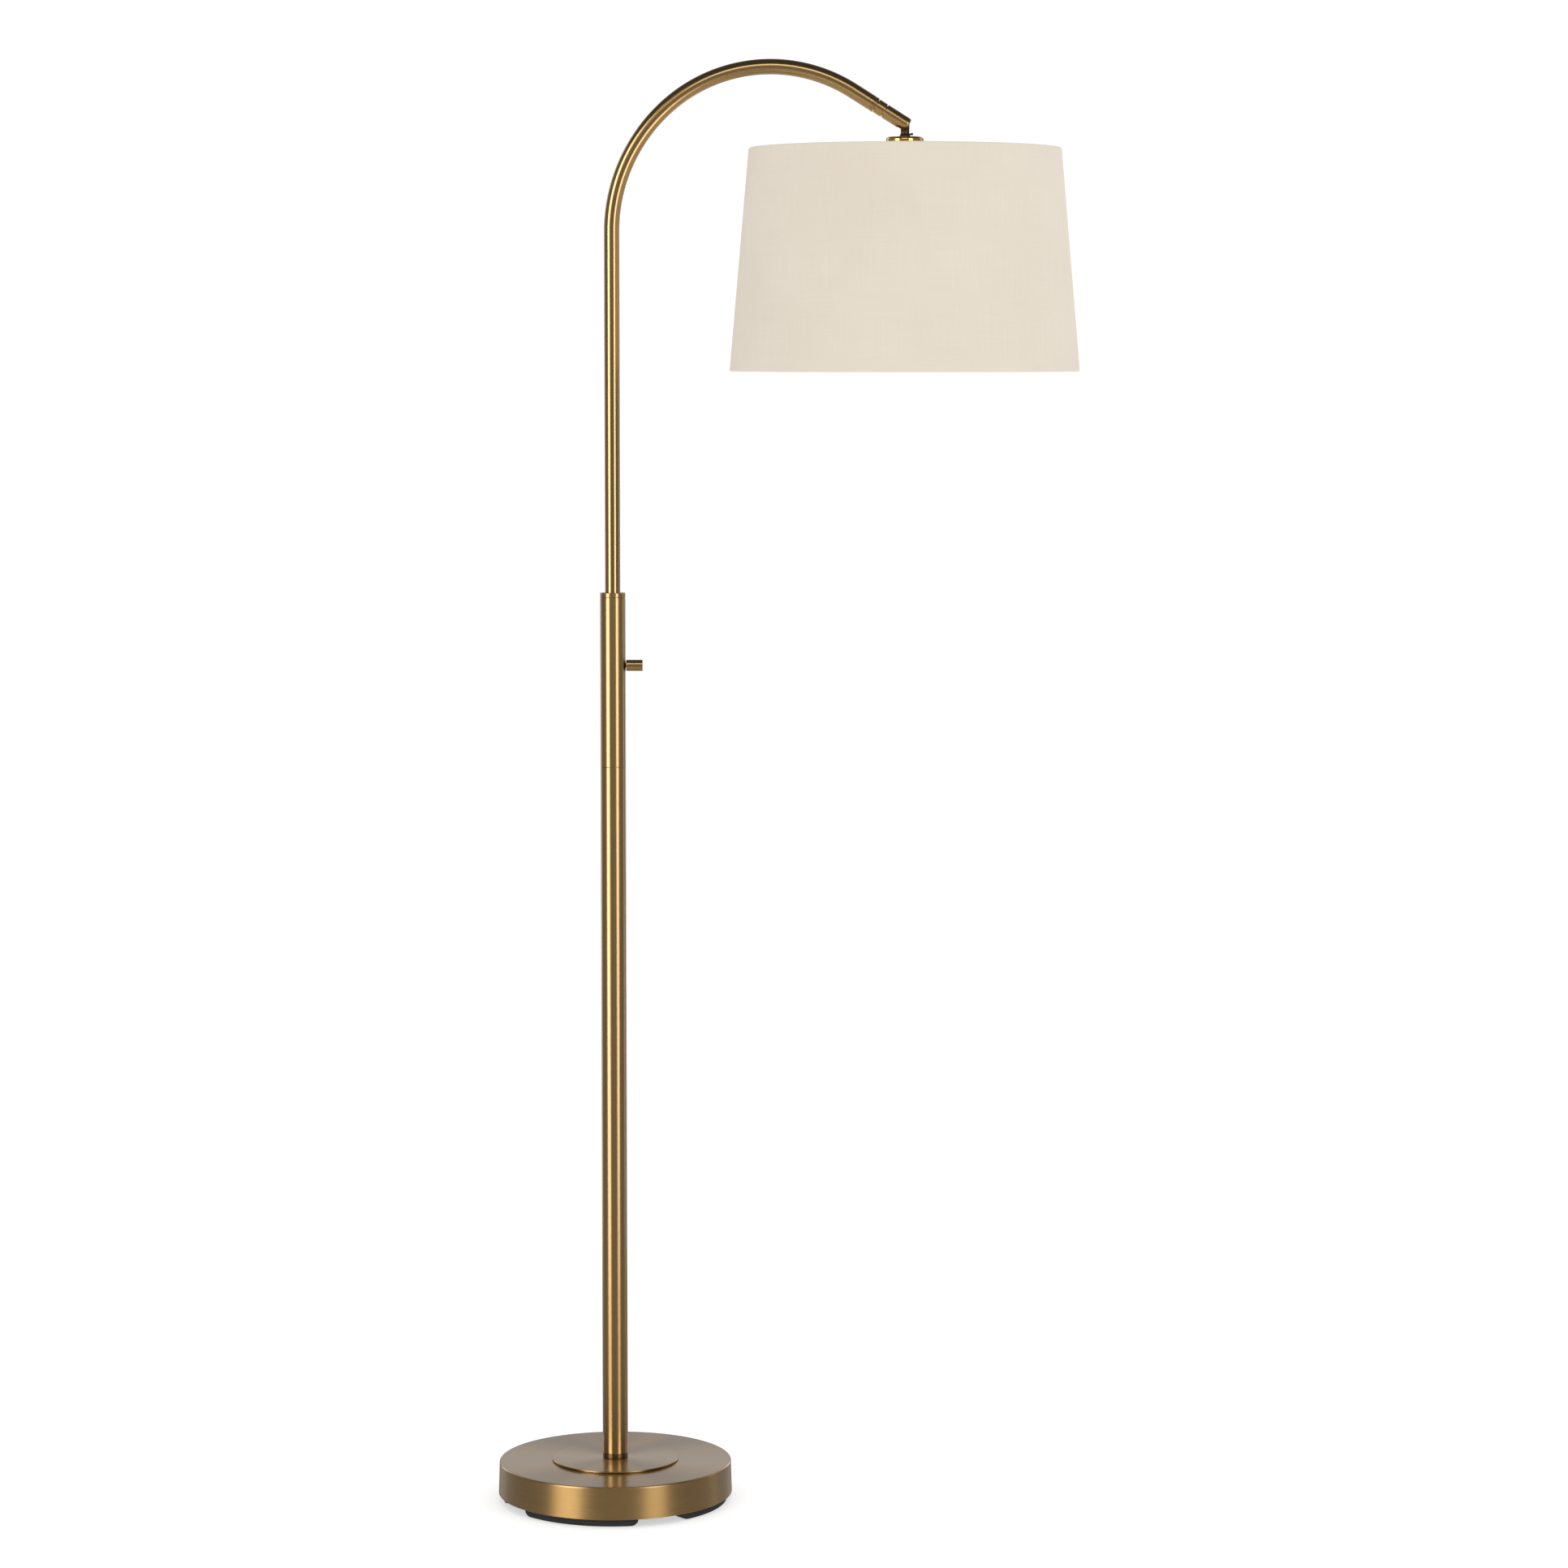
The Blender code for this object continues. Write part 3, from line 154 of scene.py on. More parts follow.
# ---- meshes -----------------------------------------------------------------------------------
def rounded(corners, steps=4):
    """(r, z) points of an outline; a corner with a third value is rounded by it, between support points."""
    points = []
    count = len(corners)
    for index, (r, z, *easing) in enumerate(corners):
        if not easing:
            points.append((r, z))
            continue
        radius = easing[0]
        here = Vector((r, z))
        back = Vector(corners[index - 1][:2]) - here
        ahead = Vector(corners[(index + 1) % count][:2]) - here
        room = 0.42 * min(back.length, ahead.length)
        back.normalize()
        ahead.normalize()
        half = back.angle(ahead) / 2
        reach = min(radius / tan(half), room)
        radius = reach * tan(half)
        centre = here + (back + ahead).normalized() * radius / sin(half)
        start = here + back * reach
        end = here + ahead * reach
        points.append(tuple(start + back * 0.35 * reach))
        for step in range(steps + 1):
            spoke = (start - centre).normalized().slerp((end - centre).normalized(), step / steps)
            points.append(tuple(centre + radius * spoke))
        points.append(tuple(end + ahead * 0.35 * reach))
    return points


def arc(centre, radius, start, end, steps):
    """(r, z) points on an arc, angles from the outward direction towards +Z."""
    turns = [start + (end - start) * step / steps for step in range(steps + 1)]
    return [(centre[0] + radius * cos(turn), centre[1] + radius * sin(turn)) for turn in turns]


def split_long(points, longest, closed):
    """The same outline with its long runs divided, so that no face is much longer than the rest."""
    result = []
    ends = points[1:] + ([points[0]] if closed else [])
    for start, end in zip(points, ends):
        result.append(start)
        pieces = max(1, ceil(dist(start, end) / longest))
        for piece in range(1, pieces):
            share = piece / pieces
            r = start[0] + (end[0] - start[0]) * share
            z = start[1] + (end[1] - start[1]) * share
            result.append((r, z))
    if not closed:
        result.append(points[-1])
    return result


def lengths(points):
    """How far each point is along the line through them."""
    along = [0.0]
    for start, end in zip(points, points[1:]):
        along.append(along[-1] + dist(start, end))
    return along


def skin_bm(rings, rows, spot):
    """A skin over loops of points, where a loop of one point makes a tip; as many rows as loops closes it.

    spot gives the map's place, in metres, for a step round the loops and a row.
    """
    bm = bmesh.new()
    layer = bm.loops.layers.uv.new(UV)
    loops = [[bm.verts.new(point) for point in ring] for ring in rings]
    for row in range(rows):
        lower, upper = loops[row], loops[(row + 1) % len(loops)]
        for index in range(max(len(lower), len(upper))):
            corners = {}
            for loop, across, up in ((lower, 0, 0), (lower, 1, 0), (upper, 1, 1), (upper, 0, 1)):
                corners.setdefault(loop[(index + across) % len(loop)], spot(index + across, row + up))
            face = bm.faces.new(list(corners))
            for corner, place in zip(face.loops, corners.values()):
                corner[layer].uv = place
    return bm


def turned_bm(outline, segments=96, longest=0.05):
    """A solid turned about local Z; an outline that starts off the axis is closed into a ring.

    The map is in metres: u round the axis at the widest radius, v along the outline.
    """
    closed = outline[0][0] > 0
    points = split_long(outline, longest, closed)
    turns = [tau * index / segments for index in range(segments)]
    rings = []
    for r, z in points:
        rings.append([(r * cos(turn), r * sin(turn), z) for turn in (turns if r > 1e-7 else turns[:1])])
    around = tau * max(r for r, _ in points)
    along = lengths(points + points[:1])
    rows = len(points) if closed else len(points) - 1
    return skin_bm(rings, rows, lambda turn, level: (around * turn / segments, along[level]))


def lofted_bm(rings, around, open_ends=False):
    """Joins equal loops of points into one body; the map is in metres along the mean of the loops."""
    along = lengths([sum(map(Vector, ring), Vector()) / len(ring) for ring in rings])
    along.append(along[-1])
    count = len(rings[0])
    rows = len(rings) if open_ends else len(rings) - 1
    bm = skin_bm(rings, rows, lambda turn, level: (around * turn / count, along[level]))
    if not open_ends:
        verts = list(bm.verts)
        bm.faces.new(verts[:count])
        bm.faces.new(verts[-count:])
    return bm


def mesh_of(bm, smooth_angle=SMOOTH_ANGLE):
    """Turns a bmesh into a mesh with outward normals, smooth but for its sharp edges."""
    bmesh.ops.recalc_face_normals(bm, faces=bm.faces)
    mesh = bpy.data.meshes.new("mesh")
    bm.to_mesh(mesh)
    bm.free()
    mesh.shade_smooth()
    mesh.set_sharp_from_angle(angle=radians(smooth_angle))
    return mesh


def turned(outline, segments=96, longest=0.05):
    return mesh_of(turned_bm(outline, segments, longest))


def drill_bm(radius, low, high, sides=32):
    """A plain cylinder about local Z, for cutting a round hole, or with few sides a key socket."""
    return turned_bm([(0, low), (radius, low), (radius, high), (0, high)], sides)


def box_bm(low, high):
    bm = bmesh.new()
    bm.loops.layers.uv.new(UV)
    bmesh.ops.create_cube(bm, size=1.0)
    size = Vector(high) - Vector(low)
    middle = (Vector(high) + Vector(low)) / 2
    place = Matrix.Translation(middle) @ Matrix.Diagonal((*size, 1))
    bmesh.ops.transform(bm, matrix=place, verts=bm.verts)
    return bm


def cut(mesh, tools):
    """The mesh after exact booleans with (bmesh, matrix, operation) tools."""
    body = bpy.data.objects.new("body", mesh)
    bpy.context.collection.objects.link(body)
    helpers = []
    for tool_bm, matrix, operation in tools:
        tool = bpy.data.objects.new("tool", mesh_of(tool_bm))
        tool.matrix_world = matrix
        bpy.context.collection.objects.link(tool)
        step = body.modifiers.new("step", "BOOLEAN")
        step.operation = operation
        step.solver = "EXACT"
        step.object = tool
        helpers.append(tool)
    bpy.context.view_layer.update()
    graph = bpy.context.evaluated_depsgraph_get()
    result = bpy.data.meshes.new_from_object(body.evaluated_get(graph), depsgraph=graph)
    for thing in [body, *helpers]:
        bpy.data.objects.remove(thing, do_unlink=True)
    result.materials.clear()
    result.shade_smooth()
    result.set_sharp_from_angle(angle=radians(SMOOTH_ANGLE))
    return result


def piece(name, mesh, place, material, body, slot, *nodes):
    """Adds a mesh at its place, on its body, standing for its CAD nodes."""
    mesh.name = name
    thing = bpy.data.objects.new(name, mesh)
    bpy.context.collection.objects.link(thing)
    thing.matrix_world = place
    mesh.materials.append(material)
    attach(thing, body)
    if nodes:
        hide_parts(*nodes)
    return thing


# ---- materials --------------------------------------------------------------------------------
class Nodes:
    """Short calls for the nodes of one tree."""

    def __init__(self, tree):
        self.tree = tree

    def put(self, socket, value):
        if isinstance(value, bpy.types.NodeSocket):
            self.tree.links.new(value, socket)
        else:
            socket.default_value = value

    def node(self, kind, inputs=(), **settings):
        node = self.tree.nodes.new("ShaderNode" + kind)
        for key, value in settings.items():
            setattr(node, key, value)
        for key, value in dict(inputs).items():
            self.put(node.inputs[key], value)
        return node

    def math(self, operation, a, b=0.0):
        return self.node("Math", {0: a, 1: b}, operation=operation).outputs[0]

    def plus(self, a, b):
        return self.math("ADD", a, b)

    def times(self, a, b):
        return self.math("MULTIPLY", a, b)

    def between(self, value, low, high, start=0.0, end=1.0, easing="LINEAR"):
        node = self.node(
            "MapRange",
            {"Value": value, "From Min": start, "From Max": end, "To Min": low, "To Max": high},
            interpolation_type=easing,
        )
        return node.outputs[0]


class Graph(Nodes):
    """The nodes of one new material."""

    def __init__(self, name):
        self.material = bpy.data.materials.new(name)
        self.material.use_nodes = True
        super().__init__(self.material.node_tree)
        self.shader = self.tree.nodes["Principled BSDF"]

    def place(self):
        """Object coordinates, in metres."""
        return self.node("TexCoord").outputs["Object"]

    def flat(self):
        """The metric map, in metres."""
        return self.node("UVMap", uv_map=UV).outputs["UV"]

    def noise(self, vector, scale, detail=2.0, roughness=0.5):
        inputs = {"Vector": vector, "Scale": scale, "Detail": detail, "Roughness": roughness}
        return self.node("TexNoise", inputs).outputs["Fac"]

    def scaled(self, vector, factors):
        return self.node("VectorMath", {0: vector, 1: factors}, operation="MULTIPLY").outputs[0]

    def tint(self, value, dark, light, start=0.3, end=0.7):
        """A colour between two, by a value."""
        ramp = self.node("ValToRGB", {"Fac": value})
        ramp.color_ramp.elements[0].position = start
        ramp.color_ramp.elements[1].position = end
        ramp.color_ramp.elements[0].color = (*dark, 1)
        ramp.color_ramp.elements[1].color = (*light, 1)
        return ramp.outputs["Color"]

    def bump(self, height, distance, strength=1.0):
        return self.node("Bump", {"Height": height, "Distance": distance, "Strength": strength}).outputs[0]

    def finish(self, **inputs):
        for key, value in inputs.items():
            self.put(self.shader.inputs[key.replace("_", " ")], value)
        return self.material


ROUND_SCALE = 16.0      # variations of the brushed lines a metre, across the piece


def shade_of(colour, factor):
    return tuple(min(1.0, channel * factor) for channel in colour)


def brushed(name, colour, roughness, streak, spread, coat, line, bent=False):
    """Lacquered metal with fine lines round its axis and faint clouding.

    streak is how strong the lines are, line their pitch, and spread how far they smear a light across
    themselves. The smear's direction comes from the metric map if bent is set, and otherwise from local Z.
    """
    g = Graph(name)
    place = g.place()
    spot = g.node("SeparateXYZ", {0: place})
    lines = g.node("CombineXYZ", {
        0: g.times(spot.outputs[0], ROUND_SCALE),
        1: g.times(spot.outputs[1], ROUND_SCALE),
        2: g.times(g.node("SeparateXYZ", {0: g.flat()}).outputs[1], 1.0 / line),
    }).outputs[0]
    fine = g.noise(lines, 1.0, 3.0, 0.65)
    cloud = g.noise(place, 22.0, 3.0, 0.6)
    mixed = g.plus(g.times(fine, 0.6), g.times(cloud, 0.4))
    tone = g.tint(mixed, shade_of(colour, 1 - 0.13 * streak), shade_of(colour, 1 + 0.11 * streak))
    rough = g.between(mixed, roughness - 0.05 * streak, roughness + 0.05 * streak, 0.3, 0.7)
    normal = g.bump(fine, 0.003 * MM, 0.6 * streak)
    if spread:
        kind = {"direction_type": "RADIAL", "axis": "Z"}
        if bent:
            kind = {"direction_type": "UV_MAP", "uv_map": UV}
        tangent = g.node("Tangent", **kind).outputs[0]
        g.finish(Anisotropic=spread, Anisotropic_Rotation=0.25, Tangent=tangent)
    if coat:
        g.finish(Coat_Weight=coat, Coat_Roughness=0.18, Coat_IOR=1.6)
    return g.finish(Base_Color=tone, Metallic=1.0, Roughness=rough, Normal=normal)


def grained(name, colour, metallic, roughness, scale, depth, variation, **more):
    """Cast, moulded or plated surface: clouded tone and a fine grain."""
    g = Graph(name)
    place = g.place()
    grain = g.noise(place, scale, 4.0, 0.6)
    cloud = g.noise(place, scale / 14, 2.0, 0.5)
    mixed = g.plus(g.times(grain, 0.5), g.times(cloud, 0.5))
    tone = g.tint(mixed, shade_of(colour, 1 - variation), shade_of(colour, 1 + variation))
    rough = g.between(mixed, roughness - 0.05, roughness + 0.05, 0.3, 0.7)
    g.finish(Base_Color=tone, Metallic=metallic, Roughness=rough, Normal=g.bump(grain, depth))
    return g.finish(**more)


def linen():
    """Plain weave on the fabric's flat pattern: warp up the shade, weft round it, with uneven yarns."""
    g = Graph("linen_weave")
    flat = g.flat()
    spot = g.node("SeparateXYZ", {0: flat})
    u, v = spot.outputs[0], spot.outputs[1]
    warp_pitch, weft_pitch = 0.58 * MM, 0.52 * MM
    swell = g.times(g.math("SUBTRACT", g.noise(flat, 260.0, 2.0), 0.5), 0.9)
    warp_wave = g.math("SINE", g.plus(g.times(u, pi / warp_pitch), swell))
    weft_wave = g.math("SINE", g.plus(g.times(v, pi / weft_pitch), swell))
    warp_rise, weft_rise = g.math("ABSOLUTE", warp_wave), g.math("ABSOLUTE", weft_wave)
    warp_over = g.times(warp_rise, g.math("POWER", weft_rise, 0.35))
    weft_over = g.times(weft_rise, g.math("POWER", warp_rise, 0.35))
    parity = g.math("GREATER_THAN", g.times(warp_wave, weft_wave), 0.0)
    weave = g.node("Mix", {0: parity, 2: weft_over, 3: warp_over}, data_type="FLOAT").outputs[0]
    warp_yarn = g.noise(g.scaled(flat, (1.0 / warp_pitch, 14.0, 0.0)), 1.0, 2.0, 0.6)
    weft_yarn = g.noise(g.scaled(flat, (14.0, 1.0 / weft_pitch, 0.0)), 1.0, 2.0, 0.6)
    yarns = g.times(g.plus(warp_yarn, weft_yarn), 0.5)
    cloud = g.noise(flat, 9.0, 3.0, 0.6)
    height = g.plus(g.times(weave, 0.6), g.times(yarns, 0.9))
    tone = g.plus(g.times(yarns, 0.55), g.times(weave, 0.20))
    tone = g.plus(tone, g.times(cloud, 0.25))
    colour = g.tint(tone, (0.700, 0.620, 0.515), (0.815, 0.742, 0.632), 0.30, 0.72)
    rough = g.between(yarns, 0.84, 0.94, 0.3, 0.7)
    return g.finish(
        Base_Color=colour, Roughness=rough, Normal=g.bump(height, 0.07 * MM, 0.8),
        Sheen_Weight=0.12, Sheen_Roughness=0.55, Specular_IOR_Level=0.25,
    )


ANTIQUE = (0.445, 0.268, 0.088)
# the same brass 5 % darker for the bent tube: painted shade, darkening the room's reflections in it to the
# tube's darker look
TUBE_BRASS_PAINTED_SHADE = shade_of(ANTIQUE, 0.95)
POLISHED = (0.72, 0.43, 0.13)
BRONZE = (0.085, 0.062, 0.038)
FOOT_RING_SHADE_TONE = (0.19, 0.10, 0.042)
# darker reddish tone for the pole's foot ring: painted shade, standing in for the shadowed reflection of the
# disc seen there
YELLOW_BRASS = (0.62, 0.44, 0.19)

# name, colour, roughness, streak, spread, coat, line
antique_base = brushed("antique_brass_spun", ANTIQUE, 0.42, 1.0, 0.85, 1.0, 0.75 * MM)
antique_flat = brushed("antique_brass_disc", ANTIQUE, 0.40, 0.9, 0.85, 1.0, 0.60 * MM)
antique_pole = brushed("antique_brass_pole", ANTIQUE, 0.33, 0.32, 0.90, 1.0, 0.90 * MM)
antique_tube = brushed("antique_brass_tube", TUBE_BRASS_PAINTED_SHADE, 0.23, 0.12, 0.70, 0.9, 0.90 * MM, bent=True)
antique_small = brushed("antique_brass_fittings", ANTIQUE, 0.23, 0.25, 0.40, 0.9, 0.60 * MM, bent=True)
polished = brushed("polished_brass", POLISHED, 0.13, 0.4, 0.0, 0.30, 0.50 * MM)
bronze = brushed("dark_bronze", BRONZE, 0.34, 0.9, 0.0, 0.20, 0.45 * MM)
foot_ring_painted_shade = brushed("pole_foot_painted_shade", FOOT_RING_SHADE_TONE, 0.30, 0.8, 0.0, 0.20, 0.50 * MM)
plain_brass = brushed("plain_brass", YELLOW_BRASS, 0.25, 0.6, 0.0, 0.0, 0.50 * MM)

# name, colour, metallic, roughness, grain scale, grain depth, variation of tone
pin_bronze = grained("bronze_pin", BRONZE, 1.0, 0.36, 900.0, 0.01 * MM, 0.12)
nut_brass = grained("brass_nut", YELLOW_BRASS, 1.0, 0.28, 900.0, 0.01 * MM, 0.10)
zinc = grained("zinc_plate", (0.56, 0.57, 0.58), 1.0, 0.34, 900.0, 0.01 * MM, 0.08)
iron = grained("cast_iron", (0.055, 0.052, 0.050), 0.5, 0.68, 420.0, 0.25 * MM, 0.25)
black_steel = grained("black_paint_on_steel", (0.030, 0.030, 0.031), 0.0, 0.42, 1100.0, 0.03 * MM, 0.20)
foam = grained("black_foam", (0.019, 0.017, 0.0165), 0.0, 0.84, 1300.0, 0.16 * MM, 0.30)
plastic = grained("black_plastic", (0.022, 0.022, 0.023), 0.0, 0.40, 1500.0, 0.015 * MM, 0.15)
nylon = grained("pale_nylon", (0.76, 0.74, 0.68), 0.0, 0.46, 700.0, 0.015 * MM, 0.04)
wire = grained("white_coated_wire", (0.80, 0.79, 0.76), 0.0, 0.36, 800.0, 0.03 * MM, 0.04)
styrene = grained("styrene_backing", (0.84, 0.82, 0.77), 0.0, 0.52, 500.0, 0.02 * MM, 0.03)
porcelain = grained("glazed_porcelain", (0.81, 0.80, 0.77), 0.0, 0.20, 260.0, 0.02 * MM, 0.03)
opal = grained(
    "opal_glass", (0.86, 0.85, 0.82), 0.0, 0.14, 60.0, 0.01 * MM, 0.02,
    Coat_Weight=0.4, Coat_Roughness=0.05,
)
cloth = linen()

# ---- places -----------------------------------------------------------------------------------
STAND = Matrix.Translation((POLE_X, 0, 0))


def arm_path(steps_low, steps_high):
    """(x, z, slope) along the tube's centre line; slope is its turn from the vertical."""
    path = []
    x, z = 0.0, BEND_Z
    for radius, start, end, steps in (
        (BEND_LOW_RADIUS, 0.0, BEND_LOW_ANGLE, steps_low),
        (BEND_HIGH_RADIUS, BEND_LOW_ANGLE, pi / 2 + ARM_DROP, steps_high),
    ):
        centre_x = x + radius * cos(start)
        centre_z = z - radius * sin(start)
        for step in range(steps):
            turn = start + (end - start) * step / steps
            path.append((centre_x - radius * cos(turn), centre_z + radius * sin(turn), turn))
        x = centre_x - radius * cos(end)
        z = centre_z + radius * sin(end)
    path.append((x, z, pi / 2 + ARM_DROP))
    return path


bend_end_x, bend_end_z, _ = arm_path(1, 1)[-1]
END_X = bend_end_x + ARM_END_STRAIGHT * cos(ARM_DROP)
END_Z = bend_end_z - ARM_END_STRAIGHT * sin(ARM_DROP)
ALONG_X = Matrix.Rotation(radians(90), 4, "Y")
ALONG_Y = Matrix.Rotation(radians(-90), 4, "X")
ARM_END = Matrix.Translation((POLE_X + END_X, 0, END_Z)) @ Matrix.Rotation(pi / 2 + ARM_DROP, 4, "Y")
PIN = ARM_END @ Vector((0, 0, PIN_AT))
TILT = Matrix.Translation(PIN)
GLAND = Matrix.Translation((0, 0, GLAND_Z)) @ ALONG_Y
CLAMP = Matrix.Translation((POLE_X, 0, CLAMP_Z)) @ ALONG_X
CLAMP_HOLE = Matrix.Translation((0, 0, CLAMP_Z)) @ ALONG_X
TANG_SCREW = Matrix.Translation((0, 0, TANG_SCREW_Z)) @ ALONG_X
KEY_HOLE = Matrix.Translation((0, 0, -KEY_DROP)) @ ALONG_X
SWITCH = Matrix.Translation((PIN.x, 0, PIN.z - KEY_DROP)) @ ALONG_X


# ---- base -------------------------------------------------------------------------------------
def pad_rings():
    """One arc-shaped foam foot, its edges eased and its ends cut back towards the floor."""
    steps = 40
    corner = 3.0 * MM
    ease = corner / PAD_RADIUS
    bends = [pi / 2 * step / 6 for step in range(6)]
    side_slope = 1.2 * MM
    levels = [
        (0.0, side_slope + 1.3 * MM, PAD_END_SLOPE + 2.2 * MM),
        (0.25 * MM, side_slope + 0.6 * MM, PAD_END_SLOPE + 1.0 * MM),
        (0.9 * MM, side_slope * 0.9, PAD_END_SLOPE * 0.92),
        (2.6 * MM, side_slope * 0.45, PAD_END_SLOPE * 0.45),
        (PAD_END_SLOPE, side_slope * 0.12, PAD_END_SLOPE * 0.08),
        (6.5 * MM, 0.0, 0.0),
        (PAD_HEIGHT - 0.8 * MM, 0.0, 0.0),
        (PAD_HEIGHT - 0.15 * MM, 0.25 * MM, 0.25 * MM),
        (PAD_HEIGHT, 0.9 * MM, 0.9 * MM),
    ]
    rings = []
    for z, side, end in levels:
        half = PAD_SPAN / 2 - end / PAD_RADIUS - ease
        outer = PAD_RADIUS - side
        inner = PAD_RADIUS - PAD_WIDTH + side
        spots = []
        for near, far, inward, way in ((outer, inner, -corner, 1), (inner, outer, corner, -1)):
            spots += [(near, way * half * (2 * step / steps - 1)) for step in range(steps + 1)]
            for bend in bends[1:]:
                spots.append((near + inward * (1 - cos(bend)), way * (half + ease * sin(bend))))
            for bend in bends:
                spots.append((far - inward * (1 - sin(bend)), way * (half + ease * cos(bend))))
        rings.append([(r * sin(turn), -r * cos(turn), z) for r, turn in spots])
    return rings


def build_cover():
    """The spun shell, open below, with the cord's hole at the back."""
    inner_foot = BASE_FOOT_RADIUS - BASE_WALL
    outline = rounded([
        (CLEAR_BORE, BASE_TOP_Z - BASE_WALL),
        (BASE_TOP_RADIUS - BASE_WALL, BASE_TOP_Z - BASE_WALL, 1.0 * MM),
        (inner_foot, BASE_Z + 0.3 * MM),
        (inner_foot + 0.3 * MM, BASE_Z),
        (BASE_FOOT_RADIUS, BASE_Z, 0.55 * MM),
        (BASE_TOP_RADIUS, BASE_TOP_Z, 2.0 * MM),
        (CLEAR_BORE, BASE_TOP_Z),
    ], 6)
    hole = drill_bm(GLAND_RADIUS + 0.4 * MM, 100 * MM, 160 * MM)
    mesh = cut(turned(outline, 192, 0.02), [(hole, GLAND, "DIFFERENCE")])
    piece("base_cover", mesh, STAND, antique_base, "stand", "antique_brass", "base_shell")


def build_disc():
    neck = DISC_RADIUS - DISC_STEP
    outline = rounded([
        (CLEAR_BORE, DISC_Z),
        (neck, DISC_Z),
        (neck, DISC_PLATE_Z),
        (DISC_RADIUS, DISC_PLATE_Z, 0.3 * MM),
        (DISC_RADIUS, DISC_TOP_Z, 0.6 * MM),
        (CLEAR_BORE, DISC_TOP_Z),
    ], 5)
    mesh = turned(outline, 192, 0.01)
    piece("cover_disc", mesh, STAND, antique_flat, "stand", "antique_brass", "base_disc")


def build_pads():
    for index in range(PAD_COUNT):
        name = f"foot_pad_{index + 1}"
        mesh = mesh_of(lofted_bm(pad_rings(), PAD_RADIUS * PAD_SPAN * 2), 55)
        mesh.transform(Matrix.Rotation(PAD_FIRST_ANGLE + index * tau / PAD_COUNT, 4, "Z"))
        pad = piece(name, mesh, STAND, foam, "stand", "black_foam", f"base_pad_{index + 1}")


def build_gland():
    bore = 3.6 * MM
    head = 8.5 * MM
    inner_end = BASE_FOOT_RADIUS - 18 * MM
    flange = BASE_FOOT_RADIUS + 0.6 * MM
    outline = rounded([
        (bore, inner_end, 0.5 * MM),
        (GLAND_RADIUS, inner_end, 0.5 * MM),
        (GLAND_RADIUS, flange),
        (head, flange, 0.3 * MM),
        (head, flange + 1.3 * MM, 0.6 * MM),
        (head - 1.3 * MM, flange + 2.2 * MM, 0.5 * MM),
        (bore + 0.7 * MM, flange + 2.2 * MM, 0.6 * MM),
        (bore, flange + 1.5 * MM),
    ], 4)
    mesh = turned(outline, 48)
    piece("lead_bushing", mesh, STAND @ GLAND, plastic, "stand", "black_plastic", "cord_gland")


# ---- pole and clamp ---------------------------------------------------------------------------
def pole_tube(low, high):
    outline = rounded([
        (POLE_BORE, low, 0.2 * MM),
        (POLE_RADIUS, low, 0.35 * MM),
        (POLE_RADIUS, high, 0.35 * MM),
        (POLE_BORE, high, 0.2 * MM),
    ], 3)
    return turned(outline, 96, 0.04)


def clamp_hole():
    """The cut for the clamp screw through one side of the sleeve or its bush."""
    return drill_bm(CLAMP_SCREW_HOLE, 5 * MM, 20 * MM), CLAMP_HOLE, "DIFFERENCE"


def build_pole():
    """The foot ring, the lower pole, the sleeve that is clamped and the bush at its top."""
    spigot = POLE_BORE - GAP
    spigot_top = COLLAR_TOP + 22 * MM
    foot = rounded([
        (CLEAR_BORE, COLLAR_LOW),
        (POLE_RADIUS, COLLAR_LOW, 0.5 * MM),
        (POLE_RADIUS, COLLAR_TOP, 0.7 * MM),
        (spigot, COLLAR_TOP),
        (spigot, spigot_top, 0.6 * MM),
        (CLEAR_BORE, spigot_top),
    ])
    # the foot ring's dark reddish tone is painted shade, for the shadowed reflection of the disc at the
    # pole's foot
    piece("pole_foot_ring", turned(foot, 96), STAND, foot_ring_painted_shade, "stand", "dark_bronze", "pole_foot")

    pole = pole_tube(COLLAR_TOP + GAP, SEAM_Z)
    piece("pole_tube", pole, STAND, antique_pole, "stand", "antique_brass", "lower_pole")

    collar_z = SLEEVE_TOP_Z - BUSH_COLLAR
    sleeve = cut(pole_tube(SEAM_Z + GAP, collar_z - GAP), [clamp_hole()])
    piece("sleeve_tube", sleeve, STAND, antique_pole, "stand", "antique_brass", "clamp_sleeve")

    bore = TUBE_RADIUS + GAP
    bush = rounded([
        (bore, collar_z - BUSH_LENGTH, 0.4 * MM),
        (spigot, collar_z - BUSH_LENGTH, 0.4 * MM),
        (spigot, collar_z),
        (POLE_RADIUS, collar_z, 0.35 * MM),
        (POLE_RADIUS, SLEEVE_TOP_Z, 0.6 * MM),
        (bore, SLEEVE_TOP_Z, 0.5 * MM),
    ])
    mesh = cut(turned(bush, 96), [clamp_hole()])
    piece("sleeve_ring", mesh, STAND, antique_pole, "stand", "antique_brass", "sleeve_bush")


def threaded_bm(radius, depth, pitch, low, high, sides=40, ease=0.5 * MM):
    """A screw with a real helical thread, its ends turned down to the thread's root."""
    rows = int(round((high - low) / pitch * 10))
    rings = []
    for row in range(rows + 1):
        z = low + (high - low) * row / rows
        ring = []
        for side in range(sides):
            turn = tau * side / sides
            phase = (z / pitch - side / sides) % 1.0
            ridge = 1 - abs(2 * phase - 1)
            fade = min(1.0, (z - low) / ease, (high - z) / ease)
            r = radius - depth * (1 - ridge * max(0.0, fade))
            ring.append((r * cos(turn), r * sin(turn), z))
        rings.append(ring)
    return lofted_bm(rings, tau * radius)


